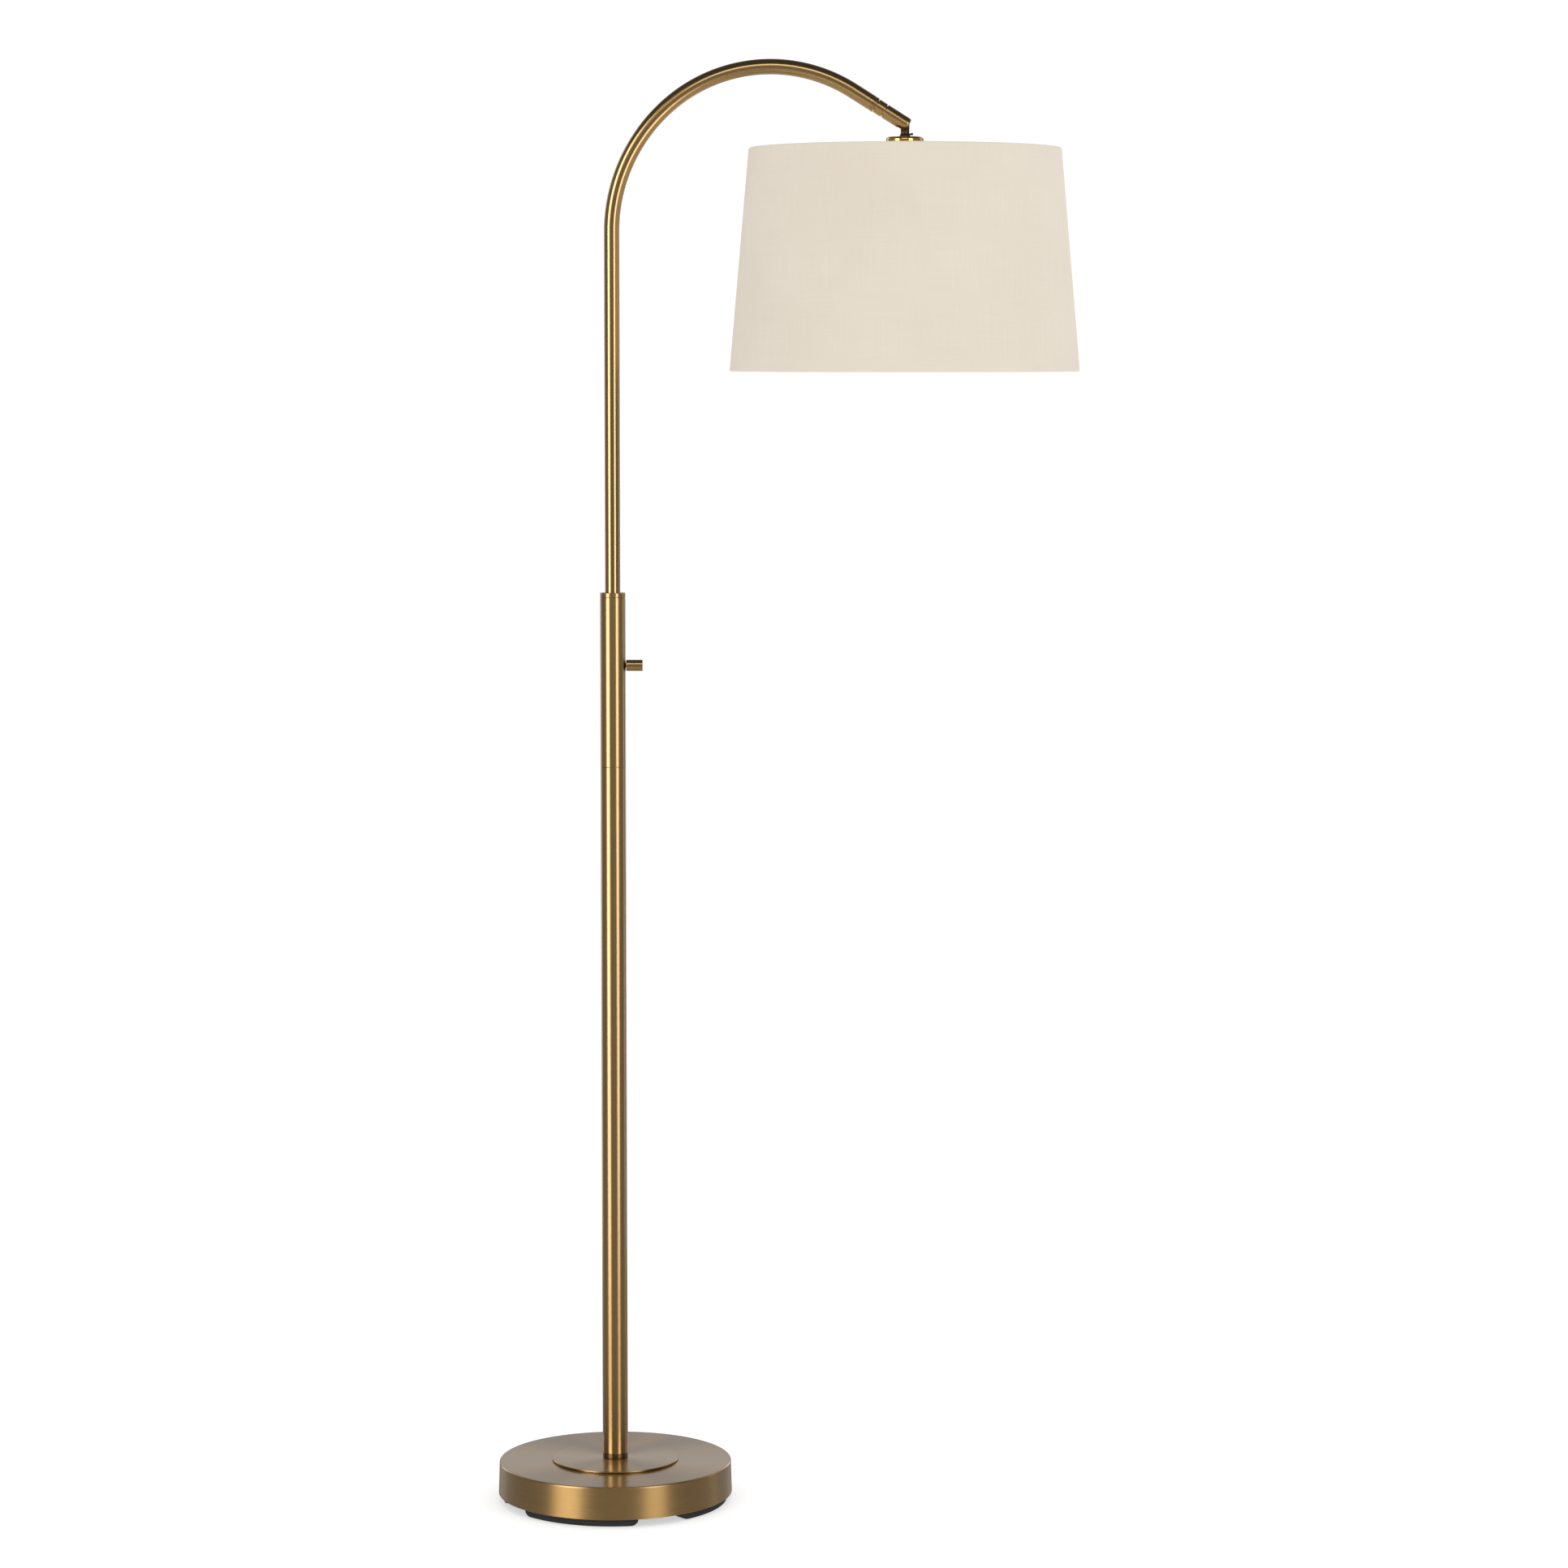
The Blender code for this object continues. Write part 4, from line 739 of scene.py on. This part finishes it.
def build_clamp():
    """The nylon pad that grips the arm, its screw and the knob."""
    pad_radius = 2.9 * MM
    pad_start = TUBE_RADIUS + GAP
    pad_end = pad_start + 3 * MM
    pad = rounded([
        (0, pad_start),
        (pad_radius, pad_start, 0.4 * MM),
        (pad_radius, pad_end, 0.2 * MM),
        (0, pad_end),
    ])
    piece("grip_pad", turned(pad, 40), CLAMP, nylon, "clamp_nose", "pale_nylon", "clamp_pad")

    thread = threaded_bm(CLAMP_SCREW_RADIUS, 0.5 * MM, MM, pad_end + GAP, CLAMP_SCREW_END)
    screw = mesh_of(thread, 60)
    piece("grip_screw", screw, CLAMP, bronze, "clamp_handle", "dark_bronze", "clamp_screw")

    knob = rounded([
        (0, CLAMP_SCREW_END + GAP),
        (CLAMP_SCREW_HOLE, CLAMP_SCREW_END + GAP),
        (CLAMP_SCREW_HOLE, KNOB_FACE, 0.3 * MM),
        (KNOB_RADIUS, KNOB_FACE, 0.4 * MM),
        (KNOB_RADIUS, KNOB_END, 0.4 * MM),
        (0, KNOB_END),
    ])
    mesh = turned(knob, 72)
    piece("turned_knob", mesh, CLAMP, antique_small, "clamp_handle", "antique_brass", "clamp_knob")


# ---- arm --------------------------------------------------------------------------------------
def build_tube():
    """The bent tube, hollow, from inside the pole to the ferrule."""
    sides = 56
    back = FERRULE_LENGTH + GAP
    straight = [(0.0, TUBE_LOW + (BEND_Z - TUBE_LOW) * step / 16, 0.0) for step in range(16)]
    last = (END_X - back * cos(ARM_DROP), END_Z + back * sin(ARM_DROP), pi / 2 + ARM_DROP)
    path = straight + arm_path(40, 56) + [last]

    def ring(radius, station):
        x, z, slope = station
        points = []
        for index in range(sides):
            turn = tau * index / sides
            across = radius * cos(turn)
            points.append((x + across * cos(slope), radius * sin(turn), z - across * sin(slope)))
        return points

    outside = [ring(TUBE_RADIUS, station) for station in path]
    inside = [ring(TUBE_BORE, station) for station in reversed(path)]
    mesh = mesh_of(lofted_bm(outside + inside, tau * TUBE_RADIUS, open_ends=True))
    piece("bent_tube", mesh, STAND, antique_tube, "arm", "antique_brass", "arm_tube")


def build_ferrule():
    """The tube's end cap, with two turned grooves and a spigot inside the tube."""
    groove = 0.4 * MM
    edge = 0.25 * MM
    spigot = TUBE_BORE - GAP
    spigot_end = -18 * MM
    outline = [
        (STUD_CLEAR, spigot_end),
        (spigot, spigot_end),
        (spigot, -FERRULE_LENGTH),
        (FERRULE_RADIUS - edge, -FERRULE_LENGTH),
        (FERRULE_RADIUS, -FERRULE_LENGTH + 0.2 * MM),
    ]
    for middle in (-3.0 * MM, -1.2 * MM):
        outline += [
            (FERRULE_RADIUS, middle - 0.5 * MM),
            (FERRULE_RADIUS - groove, middle - 0.22 * MM),
            (FERRULE_RADIUS - groove, middle + 0.22 * MM),
            (FERRULE_RADIUS, middle + 0.5 * MM),
        ]
    outline += [
        (FERRULE_RADIUS, -edge),
        (FERRULE_RADIUS - edge, 0),
        (JOINT_BOSS, 0),
        (JOINT_BOSS, GAP - JOINT_HAIR),
        (STUD_CLEAR, GAP - JOINT_HAIR),
    ]
    piece("end_ferrule", turned(outline, 72), ARM_END, antique_small, "arm", "antique_brass", "arm_ferrule")


def build_collar():
    """The fixed collar, with a dark groove at either end."""
    outline = rounded([
        (STUD_CLEAR, GAP),
        (JOINT_BOSS, GAP),
        (JOINT_BOSS, GAP + JOINT_LIP),
        (SWIVEL_RADIUS, GAP + JOINT_LIP, 0.15 * MM),
        (SWIVEL_RADIUS, COLLAR_END - JOINT_LIP, 0.15 * MM),
        (JOINT_BOSS, COLLAR_END - JOINT_LIP),
        (JOINT_BOSS, SWIVEL_START - JOINT_HAIR),
        (STUD_CLEAR, SWIVEL_START - JOINT_HAIR),
    ])
    mesh = turned(outline, 72)
    piece("end_collar", mesh, ARM_END, antique_small, "arm", "antique_brass", "swivel_collar")


def build_swivel():
    """The fork that turns on the arm's stud, slotted for the tang and drilled for its pin."""
    slot_start = PIN_AT - TANG_HALF_WIDTH - GAP
    bore = SLOT_HALF + GAP
    outline = rounded([
        (0, slot_start + MM),
        (bore, slot_start + MM),
        (bore, SWIVEL_WEB_END),
        (STUD_CLEAR, SWIVEL_WEB_END),
        (STUD_CLEAR, SWIVEL_START),
        (SWIVEL_RADIUS, SWIVEL_START, 0.35 * MM),
        (SWIVEL_RADIUS, SWIVEL_END, 2.6 * MM),
        (0, SWIVEL_END),
    ], 8)
    low = (-TANG_HALF_WIDTH - GAP, -SLOT_HALF, slot_start)
    high = (12 * MM, SLOT_HALF, SWIVEL_END + 10 * MM)
    hole = drill_bm(PIN_HOLE, -6.9 * MM, 12 * MM)
    mesh = cut(turned(outline, 72), [
        (box_bm(low, high), Matrix.Identity(4), "DIFFERENCE"),
        (hole, Matrix.Translation((0, 0, PIN_AT)) @ ALONG_Y, "DIFFERENCE"),
    ])
    piece("swivel_fork", mesh, ARM_END, antique_small, "swivel", "antique_brass", "swivel_body")


# ---- tang and cap -----------------------------------------------------------------------------
def tang_plate_bm():
    """The flat of the tang: round over the pin, its faces bevelled, its foot inside the stem."""
    steps = 28
    bevel = 0.35 * MM
    foot = -TANG_FLAT_END - 0.4 * MM
    foot_half = TANG_HALF_WIDTH - 0.1 * MM
    flat = arc((0, 0), TANG_HALF_WIDTH, 0, pi, steps)
    flat += [
        (-TANG_HALF_WIDTH, -TANG_FLAT_END + MM),
        (-foot_half, foot),
        (foot_half, foot),
        (TANG_HALF_WIDTH, -TANG_FLAT_END + MM),
    ]
    rings = []
    for y, inset in (
        (-TANG_HALF_THICKNESS, bevel),
        (-TANG_HALF_THICKNESS + bevel, 0.0),
        (TANG_HALF_THICKNESS - bevel, 0.0),
        (TANG_HALF_THICKNESS, bevel),
    ):
        share = 1 - inset / TANG_HALF_WIDTH
        rings.append([(x * share, y, z * share if z > 0 else z) for x, z in flat])
    return lofted_bm(rings, around=30 * MM)


def build_tang():
    """The stem with its flat, drilled for the pin and for the small screw."""
    bore = 3.3 * MM
    bore_top = -TANG_FOOT + 4.2 * MM
    stem = rounded([
        (0, bore_top),
        (bore, bore_top),
        (bore, -TANG_FOOT),
        (6.6 * MM, -TANG_FOOT, 0.25 * MM),
        (5.9 * MM, -TANG_FOOT + 1.6 * MM, 0.8 * MM),
        (TANG_HALF_WIDTH, -TANG_FOOT + 3.2 * MM, 0.8 * MM),
        (TANG_HALF_WIDTH, -TANG_FLAT_END, 0.3 * MM),
        (0, -TANG_FLAT_END),
    ], 4)
    mesh = cut(turned(stem, 64), [
        (tang_plate_bm(), Matrix.Identity(4), "UNION"),
        (drill_bm(PIN_HOLE, -8 * MM, 8 * MM), ALONG_Y, "DIFFERENCE"),
        (drill_bm(1.25 * MM, 2 * MM, 9 * MM, 24), TANG_SCREW, "DIFFERENCE"),
    ])
    piece("shade_stem", mesh, TILT, bronze, "shade", "dark_bronze", "shade_tang")


def build_tang_screw():
    """The small screw in the stem, with a hexagon socket."""
    shank, head = 0.95 * MM, 1.35 * MM
    start, neck, end = 3.4 * MM, 6.8 * MM, 9.3 * MM
    outline = rounded([
        (0, start),
        (shank, start, 0.2 * MM),
        (shank, neck),
        (head, neck, 0.15 * MM),
        (head, end, 0.3 * MM),
        (0, end),
    ])
    socket = drill_bm(0.62 * MM, end - MM, end + 0.3 * MM, 6)
    mesh = cut(turned(outline, 40), [(socket, Matrix.Identity(4), "DIFFERENCE")])
    piece("stem_screw", mesh, TILT @ TANG_SCREW, bronze, "shade", "dark_bronze", "tang_screw")


def build_cap():
    """The spun brass cap over the shade's nut."""
    shoulder = 3.4 * MM
    wall = 1.0 * MM
    centre = (CAP_RADIUS - shoulder, -CAP_TOP - 3.8 * MM)
    skirt_z = centre[1] - 0.2 * MM
    outline = [(CLEAR_BORE, -CAP_TOP)]
    outline += arc(centre, shoulder, radians(90), 0, 12)
    outline += rounded([
        (CAP_RADIUS, skirt_z),
        (CAP_RADIUS, -CAP_BOTTOM, 0.3 * MM),
        (CAP_RADIUS - wall, -CAP_BOTTOM, 0.25 * MM),
        (CAP_RADIUS - wall, skirt_z),
    ], 3)
    outline += arc(centre, shoulder - wall, 0, radians(90), 12)
    outline += [(CLEAR_BORE, -CAP_TOP - wall)]
    piece("shade_button", turned(outline, 128), TILT, polished, "shade", "polished_brass", "shade_cap")


# ---- shade ------------------------------------------------------------------------------------
def shade_radius(drop):
    share = (drop - SHADE_TOP) / SHADE_HEIGHT
    return SHADE_TOP_RADIUS + (SHADE_FOOT_RADIUS - SHADE_TOP_RADIUS) * share


def fabric_outline():
    """The cloth's outer face from the foot's lip to the top's lip, as (r, z) points."""
    corners = [
        (SHADE_FOOT_RADIUS - LIP_WIDTH, -SHADE_BOTTOM),
        (SHADE_FOOT_RADIUS, -SHADE_BOTTOM, 1.7 * MM),
        (SHADE_TOP_RADIUS, -SHADE_TOP, 2.9 * MM),
        (SHADE_TOP_RADIUS - LIP_WIDTH, -SHADE_TOP),
    ]
    inside = (corners[0][0] - MM, -SHADE_TOP - SHADE_HEIGHT / 2)
    return split_long(rounded(corners + [inside], 7)[:-1], longest=8 * MM, closed=False)


def lap_turns():
    """The cloth's columns, in turns from the lap's middle: even, but for those at its two edges."""
    edge = radians(0.05)
    even = [tau * index / FABRIC_COLUMNS for index in range(FABRIC_COLUMNS)]
    even = [turn for turn in even if LAP_HALF * 1.25 < turn < tau - LAP_HALF * 1.25]
    return [0.0, LAP_HALF, LAP_HALF + edge, *even, tau - LAP_HALF - edge, tau - LAP_HALF]


def fabric_bm():
    """The cloth: one sheet round the backing, lapped at the back, mapped on its flat pattern.

    Also returns the pattern's angle, the radius that the shade's foot has on it and the section's length.
    """
    outer = fabric_outline()
    run = lengths(outer)
    inner = []
    for index, (r, z) in enumerate(outer):
        before = Vector(outer[max(0, index - 1)])
        after = Vector(outer[min(len(outer) - 1, index + 1)])
        along = (after - before).normalized()
        inner.append((r - along.y * FABRIC_WALL, z + along.x * FABRIC_WALL))
    slant = hypot(SHADE_FOOT_RADIUS - SHADE_TOP_RADIUS, SHADE_HEIGHT)
    apex = slant * SHADE_FOOT_RADIUS / (SHADE_FOOT_RADIUS - SHADE_TOP_RADIUS)
    sector = tau * SHADE_FOOT_RADIUS / apex

    turns = lap_turns()
    rings = []
    for points, rise in ((outer, LAP_RISE), (inner[::-1], 0.0)):
        for r, z in points:
            ring = []
            for turn in turns:
                reach = r + (rise if min(turn, tau - turn) < LAP_HALF + 1e-6 else 0.0)
                ring.append((reach * cos(LAP_AT + turn), reach * sin(LAP_AT + turn), z))
            rings.append(ring)
    runs = run + run[::-1]

    def spot(index, level):
        swing = sector * ((turns + [tau])[index] / tau - 0.5)
        reach = apex - (runs[level % len(runs)] - LIP_WIDTH)
        return (reach * sin(swing), reach * cos(swing))

    return skin_bm(rings, len(rings), spot), sector, apex, run[-1]


def build_fabric():
    bm, sector, apex, run = fabric_bm()
    fabric = piece("linen_shade", mesh_of(bm, 50), TILT, cloth, "shade", "linen", "shade_fabric")


def build_liner(top, foot):
    """The stiff backing between two depths under the pin, inside the cloth."""
    top_radius = shade_radius(top) - FABRIC_WALL - GAP
    foot_radius = shade_radius(foot) - FABRIC_WALL - GAP
    outline = [
        (foot_radius - LINER_WALL, -foot),
        (foot_radius, -foot),
        (top_radius, -top),
        (top_radius - LINER_WALL, -top),
    ]
    piece("styrene_drum", turned(outline, 216, 0.03), TILT, styrene, "shade", "styrene", "shade_liner")


def build_hoop(name, node, radius, drop):
    mesh = turned(arc((radius, 0), WIRE_RADIUS, 0, tau, 16)[:-1], 160)
    piece(name, mesh, TILT @ Matrix.Translation((0, 0, -drop)), wire, "shade", "white_wire", node)


def build_spider(hoop_radius, hoop_drop):
    """The hub and its three spokes, which run to the top hoop."""
    thickness = 2 * MM
    clear = 2 * GAP
    hub = rounded([
        (CLEAR_BORE, -HUB_TOP - thickness),
        (HUB_RADIUS, -HUB_TOP - thickness, 0.4 * MM),
        (HUB_RADIUS, -HUB_TOP, 0.4 * MM),
        (CLEAR_BORE, -HUB_TOP),
    ])
    piece("washer_hub", turned(hub, 72), TILT, wire, "shade", "white_wire", "spider_hub")

    start = Vector((HUB_RADIUS + clear, 0, -HUB_TOP - thickness / 2))
    end = Vector((hoop_radius - WIRE_RADIUS - clear, 0, -hoop_drop))
    length = (end - start).length
    lean = Vector((0, 0, 1)).rotation_difference(end - start).to_matrix().to_4x4()
    spoke = rounded([(0, 0), (SPOKE_RADIUS, 0, 0.4 * MM), (SPOKE_RADIUS, length, 0.4 * MM), (0, length)])
    for index in range(3):
        name = f"spoke_{index + 1}"
        turn = Matrix.Rotation(radians(90) + index * tau / 3, 4, "Z")
        place = TILT @ turn @ Matrix.Translation(start) @ lean
        piece(name, turned(spoke, 24), place, wire, "shade", "white_wire", f"spider_{name}")


def build_shade():
    """The cloth, its backing, the two wire hoops and the spider, from the outside in."""
    build_fabric()
    liner_top = SHADE_TOP + FABRIC_WALL + GAP
    liner_foot = SHADE_BOTTOM - FABRIC_WALL - GAP
    build_liner(liner_top, liner_foot)

    clear = WIRE_RADIUS + 2 * GAP
    inset = FABRIC_WALL + GAP + LINER_WALL + clear
    top_drop, foot_drop = liner_top + clear, liner_foot - clear
    top_radius = shade_radius(top_drop) - inset
    build_hoop("top_hoop", "shade_ring_top", top_radius, top_drop)
    build_hoop("foot_hoop", "shade_ring_bottom", shade_radius(foot_drop) - inset, foot_drop)
    build_spider(top_radius, top_drop)


# ---- socket, switch and bulb ------------------------------------------------------------------
def build_socket_cap():
    """The stepped brass dome over the socket."""
    top = -SOCKET_TOP
    boss = 7.6 * MM
    inside = SOCKET_RADIUS - SOCKET_WALL
    outline = rounded([
        (CLEAR_BORE, top),
        (boss, top, 0.5 * MM),
        (boss, top - 6 * MM, 0.8 * MM),
        (12 * MM, top - 7.5 * MM, 2.5 * MM),
        (17 * MM, top - 13 * MM, 3.0 * MM),
        (SOCKET_RADIUS, top - 16 * MM, 0.8 * MM),
        (SOCKET_RADIUS, top - 28 * MM, 0.3 * MM),
        (inside, top - 28 * MM),
        (inside, top - 16 * MM),
        (16.2 * MM, top - 13.7 * MM),
        (11.5 * MM, top - 8.7 * MM),
        (CLEAR_BORE, top - 7.7 * MM),
    ])
    piece("socket_dome", turned(outline, 72), TILT, plain_brass, "shade", "plain_brass", "socket_cap")


def build_socket_shell():
    """The brass sleeve, with its rolled rings and the key's hole."""
    bore = SHELL_RADIUS - SOCKET_WALL
    groove = SHELL_RADIUS - 0.25 * MM
    outline = [(bore, SHELL_LOW), (SHELL_RADIUS, SHELL_LOW)]
    for index in range(5):
        z = SHELL_LOW + 6 * MM + index * 3.2 * MM
        outline += [
            (SHELL_RADIUS, z),
            (groove, z + 0.5 * MM),
            (groove, z + 0.9 * MM),
            (SHELL_RADIUS, z + 1.4 * MM),
        ]
    outline += [(SHELL_RADIUS, SHELL_TOP), (bore, SHELL_TOP)]
    hole = drill_bm(2.6 * MM, 10 * MM, 20 * MM)
    mesh = cut(turned(outline, 72), [(hole, KEY_HOLE, "DIFFERENCE")])
    piece("socket_sleeve", mesh, TILT, plain_brass, "shade", "plain_brass", "socket_shell")


def build_core():
    """The porcelain body inside the sleeve, with a cup for the bulb's cap."""
    radius = SHELL_RADIUS - SOCKET_WALL - GAP
    bore = 13.7 * MM
    top = SHELL_TOP - MM
    rim = SHELL_LOW + 2 * MM
    outline = rounded([
        (0, top),
        (radius, top, 0.5 * MM),
        (radius, rim, 0.8 * MM),
        (bore, rim, 0.5 * MM),
        (bore, CORE_FLOOR, 0.5 * MM),
        (0, CORE_FLOOR),
    ])
    hole = drill_bm(2.1 * MM, 6 * MM, 20 * MM, 24)
    mesh = cut(turned(outline, 72), [(hole, KEY_HOLE, "DIFFERENCE")])
    piece("porcelain_core", mesh, TILT, porcelain, "shade", "porcelain_white", "socket_core")


def build_key():
    """The switch's key: a thin shaft and a grip with grooves down its sides."""
    shaft = 1.8 * MM
    grip = 5.2 * MM
    outline = rounded([
        (0, 6.5 * MM),
        (shaft, 6.5 * MM, 0.3 * MM),
        (shaft, 19 * MM, 0.3 * MM),
        (4.6 * MM, 20 * MM, 0.5 * MM),
        (grip, 22 * MM, 0.8 * MM),
        (grip, 31 * MM, 1.0 * MM),
        (4.4 * MM, 32.7 * MM, 1.0 * MM),
        (0, 33 * MM),
    ])
    sides = 72
    groove_every = 4
    groove_scale = 0.93
    bm = turned_bm(outline, sides)
    for vert in bm.verts:
        on_grip = 21.5 * MM < vert.co.z < 31.5 * MM and hypot(vert.co.x, vert.co.y) > 4.5 * MM
        side = round(atan2(vert.co.y, vert.co.x) / tau * sides)
        if on_grip and side % groove_every == 0:
            vert.co.x *= groove_scale
            vert.co.y *= groove_scale
    piece("turn_key", mesh_of(bm, 60), SWITCH, plastic, "switch", "black_plastic", "switch_key")


def build_bulb_cap():
    """The bulb's zinc cap: contact, skirt and screw thread as rings."""
    contact = CORE_FLOOR - GAP
    root = BULB_NECK_RADIUS - 0.9 * MM
    low = -BULB_NECK_TOP + GAP
    outline = rounded([
        (0, contact),
        (3.5 * MM, contact - 0.3 * MM, 0.6 * MM),
        (4.5 * MM, contact - 1.6 * MM, 0.4 * MM),
        (9.5 * MM, contact - 2.6 * MM, 0.5 * MM),
        (12.6 * MM, contact - 4.6 * MM, 0.5 * MM),
    ])
    z = contact - 6.5 * MM
    while z > low + 3.2 * MM:
        outline += [
            (BULB_NECK_RADIUS, z),
            (BULB_NECK_RADIUS - 0.05 * MM, z - 0.5 * MM),
            (root, z - 1.5 * MM),
            (root, z - 2.0 * MM),
        ]
        z -= 3.0 * MM
    outline += [(BULB_NECK_RADIUS, z), (BULB_NECK_RADIUS, low), (0, low)]
    piece("bulb_cap", turned(outline, 64), TILT, zinc, "shade", "zinc_steel", "bulb_base")


def build_globe():
    """The opal glass: a ball that flares into its neck, hollow."""
    wall = 0.8 * MM
    lip_end = -BULB_NECK_TOP - 3.0 * MM
    centre_z = -BULB_BOTTOM + BULB_RADIUS
    shoulder = radians(40)
    flare_radius = (BULB_RADIUS * cos(shoulder) - BULB_NECK_RADIUS) / (1 - cos(shoulder))
    flare_z = centre_z + (BULB_RADIUS + flare_radius) * sin(shoulder)
    flare = arc((BULB_NECK_RADIUS + flare_radius, flare_z), flare_radius, pi, pi + shoulder, 10)
    outer = [(BULB_NECK_RADIUS, -BULB_NECK_TOP), (BULB_NECK_RADIUS, lip_end)]
    outer += [point for point in flare if point[1] < lip_end - MM]
    outer += arc((0, centre_z), BULB_RADIUS, shoulder, -pi / 2, 28)[1:]
    outer[-1] = (0, -BULB_BOTTOM)
    inner = []
    for before, here, after in zip(outer, outer[1:], outer[2:]):
        along = (Vector(after) - Vector(before)).normalized()
        inner.append((here[0] + along.y * wall, here[1] - along.x * wall))
    inner = [(0, -BULB_BOTTOM + wall)] + inner[::-1] + [(BULB_NECK_RADIUS - wall, -BULB_NECK_TOP)]
    piece("bulb_globe", turned(inner + outer, 72), TILT, opal, "shade", "opal_glass", "bulb_glass")


# ---- the CAD pieces that stay -----------------------------------------------------------------
def dress_cad_nodes():
    """Materials for the inner CAD pieces that show as they are."""
    dress = {
        iron: ["base_weight"],
        black_steel: ["bottom_plate"],
        zinc: [
            "plate_screw_1", "plate_screw_2", "plate_screw_3", "plate_screw_4",
            "stand_rod", "rod_washer", "rod_nut", "pole_coupling", "shade_nipple",
            "swivel_stud", "swivel_washer", "tilt_washer_1", "tilt_washer_2",
        ],
        pin_bronze: ["tilt_pin"],
        nut_brass: ["hub_nut"],
        nylon: ["arm_piston"],
    }
    for material, names in dress.items():
        for name in names:
            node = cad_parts[name]
            if not node.material_slots:
                node.data.materials.append(material)
            for slot in node.material_slots:
                slot.material = material


build_cover()
build_disc()
build_pads()
build_gland()
build_pole()
build_clamp()
build_tube()
build_ferrule()
build_collar()
build_swivel()
build_tang()
build_tang_screw()
build_cap()
build_shade()
build_socket_cap()
build_socket_shell()
build_core()
build_key()
build_bulb_cap()
build_globe()
dress_cad_nodes()


# ---- studio -----------------------------------------------------------------------------------
FLOOR_SIZE = 30.0
FLOOR_WHITE = 0.62
FLOOR_GLOW = 0.54               # brings the matt floor up to the photograph's white
PANEL_REACH = 2.4
STRIP_LOW, STRIP_HIGH = -0.20, 2.9
CAMERA_AT = (-0.0028, -5.28, 1.3636)
CAMERA_DIP = radians(4.714)


def build_stage():
    bm = bmesh.new()
    bmesh.ops.create_grid(bm, x_segments=8, y_segments=8, size=FLOOR_SIZE)
    mesh = bpy.data.meshes.new("studio_floor")
    bm.to_mesh(mesh)
    bm.free()
    ground = bpy.data.objects.new("studio_floor", mesh)
    bpy.context.collection.objects.link(ground)
    g = Graph("studio_floor_paint")
    g.finish(
        Base_Color=(FLOOR_WHITE, FLOOR_WHITE, FLOOR_WHITE, 1), Roughness=0.95, Specular_IOR_Level=0.0,
        Emission_Color=(1, 1, 1, 1), Emission_Strength=FLOOR_GLOW,
    )
    mesh.materials.append(g.material)
    ground.visible_glossy = False
    ground.visible_shadow = False


def soft_panel(name, azimuth, width, power, low=STRIP_LOW, high=STRIP_HIGH):
    """An upright soft light seen in the brass only; azimuth is from the front (-Y) towards the right (+X)."""
    light = bpy.data.lights.new(name, "AREA")
    light.shape = "RECTANGLE"
    light.size = width
    light.size_y = high - low
    light.energy = power
    thing = bpy.data.objects.new(name, light)
    bpy.context.collection.objects.link(thing)
    turn = radians(azimuth)
    middle = Vector((POLE_X, 0, (low + high) / 2))
    thing.location = middle + PANEL_REACH * Vector((sin(turn), -cos(turn), 0))
    thing.rotation_euler = (middle - thing.location).to_track_quat("-Z", "Y").to_euler()
    thing.visible_camera = False
    thing.visible_diffuse = False


def build_panels():
    soft_panel("left_strip", -45, 1.15, 48)
    soft_panel("right_strip", 41, 0.85, 27)
    soft_panel("side_strip", 112, 0.35, 3.2)
    soft_panel("front_top", 4, 1.6, 10, low=2.5, high=3.4)
    soft_panel("back_left_strip", -138, 0.6, 6)
    soft_panel("back_right_strip", 150, 0.5, 5)


def build_world():
    """White to the camera, an even white tent to matt surfaces, and a graded room in the brass."""
    world = bpy.data.worlds.new("studio")
    bpy.context.scene.world = world
    world.use_nodes = True
    world.cycles.sampling_method = "NONE"
    g = Nodes(world.node_tree)
    g.tree.nodes.clear()
    x, y, z = g.node("SeparateXYZ", {0: g.node("TexCoord").outputs["Generated"]}).outputs

    # the tent is a little brighter at the front and at the right
    tent = g.plus(g.times(x, 0.10), g.times(y, -0.12))
    tent = g.plus(tent, 0.925)

    # the room is dim, brighter behind the lamp and below it, and darker overhead
    behind = g.between(y, 0.0, 0.33, 0.3, 0.9, "SMOOTHSTEP")
    raised = g.between(z, 0.0, 1.0, 0.05, 0.20, "SMOOTHSTEP")
    below = g.between(z, 0.24, 0.0, -0.60, -0.30, "SMOOTHSTEP")
    overhead = g.between(z, 1.0, 0.36, 0.40, 0.60, "SMOOTHSTEP")
    room = g.plus(g.plus(g.times(behind, raised), below), 0.245)
    room = g.times(room, overhead)

    path = g.node("LightPath")
    matt = path.outputs["Is Diffuse Ray"]
    seen = path.outputs["Is Camera Ray"]
    level = g.node("Mix", {0: matt, 2: room, 3: tent}, data_type="FLOAT").outputs[0]
    level = g.node("Mix", {0: seen, 2: level, 3: 1.05}, data_type="FLOAT").outputs[0]
    glow = g.node("Background", {"Color": (1, 1, 1, 1), "Strength": level})
    g.tree.links.new(glow.outputs[0], g.node("OutputWorld").inputs[0])


def build_camera():
    data = bpy.data.cameras.new("camera")
    data.sensor_width = 36.0
    data.lens = 103.6
    data.shift_y = -0.04
    camera = bpy.data.objects.new("camera", data)
    bpy.context.collection.objects.link(camera)
    camera.location = CAMERA_AT
    camera.rotation_euler = (radians(90) - CAMERA_DIP, 0, 0)
    bpy.context.scene.camera = camera


build_stage()
build_world()
build_panels()
build_camera()
bpy.context.scene.view_settings.view_transform = "Standard"
